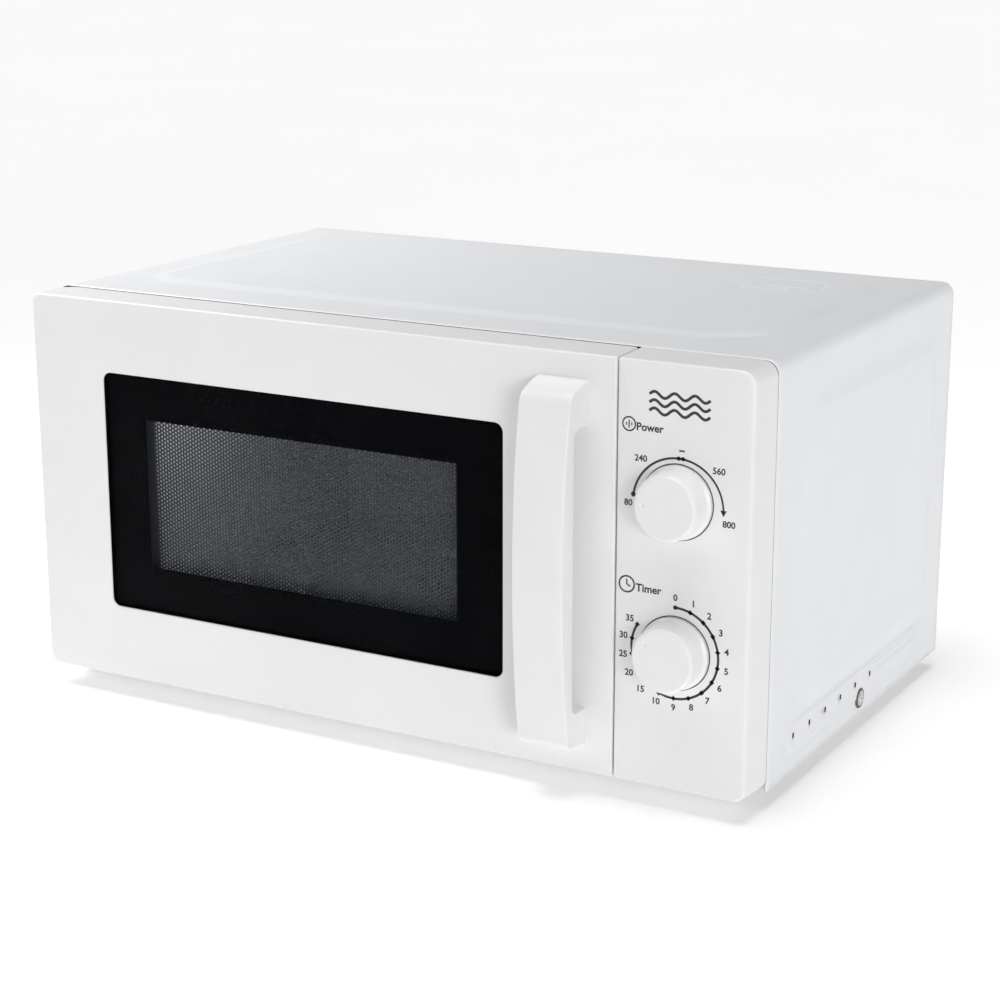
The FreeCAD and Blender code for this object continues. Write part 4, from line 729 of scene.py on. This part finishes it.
def make_knob(name, node, body, pointer):
    """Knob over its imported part, with a dimple in the face at the pointer's angle."""
    left, right, front, back, bottom, top = limits(node)
    x, z, base = (left + right) / 2, (bottom + top) / 2, (right - left) / 2 - 0.4
    edge = np.radians(np.linspace(0, 90, 7))
    side, face = base - 2.1, front
    foot = [(0, back), (base - 0.4, back), (base, back - 0.4), (base, back - 1.4), (base - 0.5, back - 1.9),
            (side + 1.1, back - 2.2), (side + 0.5, back - 2.7), (side + 0.3, back - 3.6)]
    corner = [(side - 2 + 2 * math.cos(a), face + 2 - 2 * math.sin(a)) for a in edge]
    inner = [(r, face) for r in np.linspace(side - 2.3, 0, 40)]
    grid = turned(foot + corner + inner, 128, x, z)
    dimple_x, dimple_z = x + DIMPLE_AT * math.cos(pointer), z + DIMPLE_AT * math.sin(pointer)
    away = np.hypot(grid[..., 0] - dimple_x, grid[..., 2] - dimple_z)
    on_face = grid[..., 1] < face + 0.01
    grid[..., 1] += np.where(on_face, DIMPLE_DEEP * np.exp(-(away / 0.8) ** 2), 0)
    return make_piece(name, skin(grid), body, white_shell, [node], sharp=40)


make_knob("power_dial", "power_knob", "power_control", math.radians(176))
make_knob("timer_dial", "timer_knob", "timer_control", math.radians(140))

# %% [markdown]
# ## The printing
#
# The scales are thin ribbons of ink on the panel: an arc with a dot and an arrow for power, and an
# open ring with a small square at each mark for time. Only plain numbers and generic words are used.

# %% Ink shapes
INK = 0.03                      # how far the ink stands proud of the face


def ribbon(path, width):
    """Flat band along a line in the face: each point and its normal times half the width, both ways."""
    path = np.asarray(path, float)
    along = np.gradient(path, axis=0)
    normal = np.stack([-along[:, 1], along[:, 0]], 1) / np.linalg.norm(along, axis=1)[:, None]
    half = np.broadcast_to(np.asarray(width, float) / 2, len(path))[:, None]
    left, right = path - normal * half, path + normal * half
    ring = [np.stack([side[:, 0], np.full(len(path), y), side[:, 1]], 1)
            for side, y in ((left, -INK), (right, -INK), (right, 0.0), (left, 0.0))]
    return closed_plate(list(np.stack(ring, 1)))


def disc(x, z, radius, sides=20):
    """Flat dot of ink with any number of sides."""
    return closed_plate(list(turned([(radius, -INK), (radius, 0.0)], sides, x, z)))


def arc_path(x, z, radius, first, last, count=60):
    """Points of a circle from one angle to another, in degrees."""
    angle = np.radians(np.linspace(first, last, count))
    return np.stack([x + radius * np.cos(angle), z + radius * np.sin(angle)], 1)


def lettering(text, size, x, z):
    """Word or number as a thin mesh, centred at x, z; size is its height in millimetres."""
    curve = bpy.data.curves.new("letters", "FONT")
    curve.body = text
    curve.size = size * 1.4
    curve.align_x, curve.align_y = "CENTER", "CENTER"
    curve.extrude = INK / 2
    curve.offset = size * 0.04
    curve.resolution_u = 3
    letters = bpy.data.objects.new("letters", curve)
    mesh = bpy.data.meshes.new_from_object(letters)
    points = np.zeros(len(mesh.vertices) * 3)
    mesh.vertices.foreach_get("co", points)
    mesh.calc_loop_triangles()
    corners = np.zeros(len(mesh.loop_triangles) * 3, int)
    mesh.loop_triangles.foreach_get("vertices", corners)
    points = points.reshape(-1, 3)
    placed = np.stack([x + points[:, 0], -INK / 2 - points[:, 2], z + points[:, 1]], 1)
    bpy.data.objects.remove(letters)
    bpy.data.curves.remove(curve)
    bpy.data.meshes.remove(mesh)
    return placed, corners.reshape(-1, 3).tolist()


def around(x, z, radius, degrees):
    """Point on a circle at an angle."""
    return x + radius * math.cos(math.radians(degrees)), z + radius * math.sin(math.radians(degrees))


# %% Power scale
# painted shade: an ink ring round the foot of each knob stands for the shade in the gap under its skirt
KNOB_SHADE_R = 19.55                  # thin ring round the foot of each knob
SYMBOL_X = 157.0                # the small round symbols beside the words
power_box = limits("power_knob")
KNOB_X = (power_box[0] + power_box[1]) / 2
POWER_Z = (power_box[4] + power_box[5]) / 2
ARC_X, ARC_Z, ARC_R = 184.5, 163.6, 24.8
first, last = 172, 0
power_ink = [ribbon(arc_path(ARC_X, ARC_Z, ARC_R, first, last), np.linspace(1.25, 1.0, 60)),
             disc(*around(ARC_X, ARC_Z, ARC_R, first), 1.35)]
tip_x, tip_z = around(ARC_X, ARC_Z, ARC_R, last)
power_ink.append(ribbon([(tip_x, tip_z + 1.4), (tip_x, tip_z - 1.8)], [3.6, 0.1]))
for offset in (-1.2, 1.2):
    power_ink.append(disc(ARC_X + 1.2 + offset, ARC_Z + ARC_R, 1.2, 6))
power_ink.append(ribbon([(KNOB_X + 0.4, 192.4), (KNOB_X + 3.4, 192.4)], 0.9))
# painted shade: ink ring round the knob's foot, for the shade in the gap
power_ink.append(ribbon(arc_path(KNOB_X, POWER_Z, KNOB_SHADE_R, 0, 360), 0.6))
for text, x, z in (("80", 157.2, 162.4), ("240", 163.8, 186.0), ("560", 206.4, 184.4), ("800", 212.4, 158.0)):
    power_ink.append(lettering(text, 3.3, x, z))
power_ink += [ribbon(arc_path(SYMBOL_X, 203, 3.5, 0, 360), 0.8), lettering("Power", 4.0, 168.4, 202.0)]
power_ink.append(ribbon([(SYMBOL_X, 201.0), (SYMBOL_X, 205.0)], 0.7))
for side in (-1.5, 1.5):
    power_ink.append(ribbon([(SYMBOL_X + side, 202.2), (SYMBOL_X + side, 203.8)], 0.6))
make_piece("power_scale", join(power_ink), "cabinet", print_ink, smooth=False)

# %% Time scale
timer_box = limits("timer_knob")
TIMER_Z = (timer_box[4] + timer_box[5]) / 2
LABELS = ("0", "1", "2", "3", "4", "5", "6", "7", "8", "9", "10", "15", "20", "25", "30", "35")
SWEEP = 300.0                   # degrees from the first mark to the last
TIME_R, NUMBER_R = 24.2, 29.2   # radius of the open ring, and of the numbers
timer_ink = [ribbon(arc_path(KNOB_X, TIMER_Z, TIME_R, 90, 90 - SWEEP, 120),
                    np.interp(np.arange(120), (0, 75, 82, 104, 108, 119), (1.3, 1.3, 0.5, 0.5, 1.3, 1.3))),
             disc(*around(KNOB_X, TIMER_Z, TIME_R, 90), 1.2)]
for index, text in enumerate(LABELS):
    degrees = 90 - SWEEP * index / (len(LABELS) - 1)
    timer_ink.append(lettering(text, 3.4, *around(KNOB_X, TIMER_Z, NUMBER_R, degrees)))
    if index:
        timer_ink.append(disc(*around(KNOB_X, TIMER_Z, TIME_R, degrees), 1.5, 4))
timer_ink += [ribbon(arc_path(SYMBOL_X, 119.6, 4.2, 0, 360), 0.9), lettering("Timer", 4.1, 169.2, 118.4),
              ribbon([(SYMBOL_X, 119.5), (SYMBOL_X, 122.3)], 0.8),
              ribbon([(SYMBOL_X - 0.2, 119.7), (SYMBOL_X + 2, 118.5)], 0.8)]
# painted shade: ink ring round the knob's foot, for the shade in the gap
timer_ink.append(ribbon(arc_path(KNOB_X, TIMER_Z, KNOB_SHADE_R, 0, 360), 0.6))
make_piece("timer_scale", join(timer_ink), "cabinet", print_ink, smooth=False)

# %% Wave mark above the knobs
WAVE_LENGTH, WAVE_LEFT, WAVE_LOW, WAVE_GAP = 33.0, 168.0, 211.0, 4.2
wave_x = np.linspace(0, WAVE_LENGTH, 90)
waves = []
for step in range(3):
    height = WAVE_LOW + WAVE_GAP * step + 1.5 * np.sin(wave_x / WAVE_LENGTH * 6 * np.pi)
    waves.append(ribbon(np.stack([WAVE_LEFT + wave_x, height], 1), 1.5))
make_piece("wave_mark", join(waves), "cabinet", print_ink, smooth=False)

# %% [markdown]
# ## Screws and feet
#
# Screw heads are turned profiles with a cross pressed into them. Feet are turned too, a little wider
# at the top, with a soft lower edge.

# %% Case screws


def screw_head(radius, height):
    """Flanged head standing on the plane y = 0 and facing -Y, with a cross recess."""
    dome = radius * 0.72
    profile = [(radius, 0), (radius, -0.35 * height), (radius - 0.25, -0.5 * height),
               (dome + 0.15, -0.52 * height), (dome, -0.8 * height), (dome - 0.35, -height)]
    profile += [(r, -height) for r in np.linspace(dome - 0.45, 0, 12)]
    grid = turned(profile, 48, 0, 0)
    x, z = np.abs(grid[..., 0]), np.abs(grid[..., 2])
    arm, wide = 0.6 * dome, 0.17 * dome
    cross = ((x < wide) & (z < arm)) | ((z < wide) & (x < arm))
    grid[..., 1] += np.where(cross & (grid[..., 1] < -0.9 * height), 0.75 * height, 0)
    return skin([middle_of(grid[0]), *grid])


def placed(shape, at, turn):
    """Shape turned from facing -Y to face another way, then moved to a place."""
    points, faces = shape
    return points @ np.array(turn, float).T + np.array(at), faces


TO_BACK = [[-1, 0, 0], [0, -1, 0], [0, 0, 1]]
TO_RIGHT = [[0, -1, 0], [1, 0, 0], [0, 0, 1]]
TO_LEFT = [[0, 1, 0], [-1, 0, 0], [0, 0, 1]]
SIDE_SCREW_Y, SIDE_SCREW_Z = 157.0, 20.8
FLANGE = 0.85                   # height of the dark flange that a side screw's head stands on
screws = [placed(screw_head(4.3, 0.62), (side * (WRAP_HALF + FLANGE), SIDE_SCREW_Y, SIDE_SCREW_Z), turn)
          for side, turn in ((1, TO_RIGHT), (-1, TO_LEFT))]
rear = [(x, 232.5) for x in (-150.0, 0.0, 150.0)] + [(x, z) for x in (-221.3, 221.3) for z in (60.0, 180.0)]
screws += [placed(screw_head(3.6, 1.6), (x, WRAP_BACK, z), TO_BACK) for x, z in rear]
make_piece("cabinet_screws", join(screws), "cabinet", bright_steel, ["case_screws"], sharp=30)

# %% Dark flanges under the two side screws
flange_profile = [(0, 0), (5.9, 0), (5.9, -0.5), (5.5, -FLANGE), (4.6, -FLANGE), (4.4, -0.6), (0, -0.6)]
flange = skin(turned(flange_profile, 48, 0, 0))
flanges = [placed(flange, (side * WRAP_HALF, SIDE_SCREW_Y, SIDE_SCREW_Z), turn)
           for side, turn in ((1, TO_RIGHT), (-1, TO_LEFT))]
make_piece("screw_flanges", join(flanges), "cabinet", dark_steel, sharp=30)

# %% Feet
FOOT_R, FOOT_EDGE = 7.6, 1.2
FOOT_X, FOOT_Y = (-188.0, 188.0), (62.0, 258.0)
soft = np.radians(np.linspace(0, 90, 6))
foot_edge = [(FOOT_R - FOOT_EDGE * (1 - math.sin(a)), FOOT_EDGE * (1 - math.cos(a))) for a in soft]
foot_profile = [(0, 0.0), *foot_edge, (8.2, 6.0), (9.0, 11.2), (9.0, 11.9), (4.0, 11.9), (4.0, 15.9),
                (0, 15.9)]
foot_points, foot_faces = skin(turned(foot_profile, 40, 0, 0)[..., [0, 2, 1]])
feet = [(foot_points + (x, y, 0), foot_faces) for x in FOOT_X for y in FOOT_Y]
make_piece("rubber_feet", join(feet), "cabinet", rubber, ["feet"], sharp=30)

# %% [markdown]
# ## Small things on the cabinet
#
# Black blocks fill the air slots: painted shade, which makes them read as dark dashes. A thin black
# ring in the joint behind the door and the control panel is painted shade of that gap. The front
# plate's upper edge closes the gap under the sheet. On the top, an outline marks the place of a label,
# which is left blank.

# %% Black blocks in the air slots: painted shade
SLOT_SHADE_NEAR, SLOT_SHADE_FAR = 225.3, 226.35      # the strip's surface is at 226.5
# painted shade: a black block fills each slot and stands for the shade inside it
slot_shade_parts = []
for y in SLOTS:
    block = outline(y - SLOT_HALF + 0.02, y + SLOT_HALF - 0.02, SLOT_Z[0] + 0.02, SLOT_Z[1] - 0.02, 0, 0.5)
    for sign in (1, -1):
        ends = [np.stack([np.full(len(block), sign * reach), block[:, 0], block[:, 2]], 1)
                for reach in (SLOT_SHADE_NEAR, SLOT_SHADE_FAR)]
        slot_shade_parts.append(closed_plate(ends))
make_piece("slot_shade_blocks", join(slot_shade_parts), "cabinet", shade_black, smooth=False)

# %% Black ring in the joint behind the door and the control panel: painted shade of the gap
JOINT_SHADE = (-225.95, 225.95, BOTTOM - 0.45, TOP + 0.95)
JOINT_SHADE_RADII = np.array([5.5, 7.5, 7.5, 5.5])
JOINT_SHADE_FRONT, JOINT_SHADE_BACK, JOINT_SHADE_WIDE = 24.66, 25.05, 1.4
# painted shade: a thin black ring where the joint is only in shade
joint_shade_outlines = [outline(*grown(JOINT_SHADE, -inset), y, JOINT_SHADE_RADII - inset)
        for inset, y in ((0, JOINT_SHADE_FRONT), (0, JOINT_SHADE_BACK), (JOINT_SHADE_WIDE, JOINT_SHADE_BACK), (JOINT_SHADE_WIDE, JOINT_SHADE_FRONT))]
make_piece("joint_shade_ring", skin(joint_shade_outlines, close_rows=True), "cabinet", shade_black)

# %% Upper edge of the front plate
plate_box = limits("front_plate")
UPPER = (plate_box[0], plate_box[1], plate_box[5], WRAP_TOP - SHEET - 0.1)
upper = [outline(*UPPER, y, (0.05, 6.0, 6.0, 0.05)) for y in (plate_box[2], plate_box[3])]
make_piece("front_plate_edge", closed_plate(upper), "cabinet", enamel, smooth=False)

# %% Blank label outline on the top


def on_top(shape, height):
    """Flat ink shape laid down on the cabinet's top: its up becomes back, its front becomes up."""
    points, faces = shape
    return np.stack([points[:, 0], points[:, 2], height - points[:, 1]], 1), faces


LABEL_Z = WRAP_TOP + PRESSED_OUT
label_lines = [[(119.0, 240.4), (142, 239.8), (165.7, 239.2)], [(169.8, 235.8), (170.3, 224), (170.5, 210.9)],
               [(120.1, 206.2), (146, 207.0), (170.4, 208.0)], [(137.2, 217.1), (150, 217.4), (162.1, 217.6)]]
make_piece("label_outline", join([on_top(ribbon(path, 1.4), LABEL_Z) for path in label_lines]), "cabinet",
           label_film, smooth=False)

# %% [markdown]
# ## The glass tray
#
# The tray is pressed glass, so a turned profile suits it: a thick rolled rim and a low ring that
# strengthens the floor. Three lugs underneath are what the coupler pushes.

# %% Glass tray
tray_box = limits("glass_tray")
TRAY_X, TRAY_Y = (tray_box[0] + tray_box[1]) / 2, (tray_box[2] + tray_box[3]) / 2
TRAY_R = (tray_box[1] - tray_box[0]) / 2
LUG_BOTTOM, RIM_TOP = tray_box[4], tray_box[5]
UNDER = LUG_BOTTOM + 4.0
LUG_AT = 15.0                   # the lugs' distance from the axis
roll = np.radians(np.linspace(-60, 200, 14))
tray_profile = [(0, UNDER), (TRAY_R - 16, UNDER), (TRAY_R - 12, UNDER + 0.6), (TRAY_R - 5, UNDER + 4.6)]
tray_profile += [(TRAY_R - 1.8 + 1.8 * math.cos(a), RIM_TOP - 1.8 + 1.8 * math.sin(a)) for a in roll]
tray_profile += [(TRAY_R - 13, UNDER + 4.6), (TRAY_R - 17, UNDER + 4.0), (86, UNDER + 4.0), (84, UNDER + 4.4),
                 (82, UNDER + 4.0), (0, UNDER + 4.0)]
tray_grid = turned(tray_profile, 120, 0, 0)[..., [0, 2, 1]] + (TRAY_X, TRAY_Y, 0)
tray_parts = [skin(tray_grid)]
for index in range(3):
    a = math.radians(60 + 120 * index)
    lug_profile = [(0, LUG_BOTTOM), (2.4, LUG_BOTTOM), (3.0, LUG_BOTTOM + 0.8), (3.2, UNDER + 0.4),
                   (0, UNDER + 0.4)]
    lug = turned(lug_profile, 20, 0, 0)[..., [0, 2, 1]]
    tray_parts.append(skin(lug + (TRAY_X + LUG_AT * math.cos(a), TRAY_Y + LUG_AT * math.sin(a), 0)))
make_piece("tray", join(tray_parts), "turntable", tray_glass, ["glass_tray"], sharp=40)

# %% [markdown]
# ## The studio
#
# A plain pale floor, which glows a little so that it reads as white, under a soft sky that is white at
# the horizon and dim overhead. Two far, broad suns do most of the work: a low one from the right
# lights the front, so that the handle and the knobs throw soft shadows to the left, and a high one
# lights the top. A large lamp at the left, a small one at the right and a very small one inside
# the cavity even out the left of the top, the right side and the screen.

# %% Floor
FLOOR_REACH, FLOOR_GLOW = 40, 0.42          # metres, and strength of its own light
floor_mesh = bpy.data.meshes.new("floor")
span = np.linspace(-FLOOR_REACH, FLOOR_REACH, 9)
floor_x, floor_y = np.meshgrid(span, span, indexing="ij")
floor_points = np.stack([floor_x, floor_y, np.zeros_like(floor_x)], -1).reshape(-1, 3)
floor_mesh.from_pydata(floor_points.tolist(), [], weave(9, 9, close_columns=False)[:, ::-1].tolist())
pale_floor = make_finish("pale floor", (0.71, 0.71, 0.71), (0.73, 0.73, 0.73), (0.8, 0.9), patch=2)
floor_inputs = pale_floor.node_tree.nodes["Principled BSDF"].inputs
floor_inputs["Emission Color"].default_value = (1, 1, 1, 1)
floor_inputs["Emission Strength"].default_value = FLOOR_GLOW
floor_mesh.materials.append(pale_floor)
floor = bpy.data.objects.new("floor", floor_mesh)
bpy.context.scene.collection.objects.link(floor)

# %% Lamps


def add_sun(name, side, height, power, spread):
    """Far, broad lamp: side is its turn to the right of the front, height its rise, in degrees."""
    lamp = bpy.data.lights.new(name, "SUN")
    lamp.energy = power
    lamp.angle = math.radians(spread)
    holder = bpy.data.objects.new(name, lamp)
    holder.rotation_euler = (math.radians(90 - height), 0.0, math.radians(side))
    bpy.context.scene.collection.objects.link(holder)
    print(name, power)


add_sun("key light", 46, 6, 1.25, 20)
add_sun("top light", -20, 84, 2.03, 40)


def add_panel(name, place, aim, power, side):
    """Square soft lamp near the oven, turned to face a point."""
    lamp = bpy.data.lights.new(name, "AREA")
    lamp.size = side
    lamp.energy = power
    holder = bpy.data.objects.new(name, lamp)
    holder.location = place
    holder.rotation_euler = (Vector(aim) - Vector(place)).to_track_quat("-Z", "Y").to_euler()
    holder.visible_camera = False
    bpy.context.scene.collection.objects.link(holder)
    print(name, power, "W")


add_panel("left lamp", (-0.65, -0.02, 0.72), (-0.1, -0.02, 0.24), 3.6, 0.4)
add_panel("right lamp", (0.80, -0.06, 0.16), (0.226, 0.0, 0.12), 0.13, 0.3)
add_panel("oven lamp", (-0.08, -0.06, 0.20), (-0.19, -0.075, 0.15), 0.09, 0.03)

# %% Sky
world = bpy.data.worlds.new("soft sky")
bpy.context.scene.world = world
world.use_nodes = True
sky = world.node_tree
heading = sky.nodes.new("ShaderNodeTexCoord")
split = sky.nodes.new("ShaderNodeSeparateXYZ")
rise = sky.nodes.new("ShaderNodeMapRange")
rise.interpolation_type = "SMOOTHSTEP"
rise.inputs["From Max"].default_value = 0.25
HORIZON, ZENITH = 1.0, 0.05
sky.links.new(heading.outputs["Generated"], split.inputs["Vector"])
sky.links.new(split.outputs["Z"], rise.inputs["Value"])
sky.links.new(blend_colours(sky, rise.outputs["Result"], (HORIZON,) * 3, (ZENITH,) * 3),
              sky.nodes["Background"].inputs["Color"])
bpy.context.scene.view_settings.view_transform = "Standard"
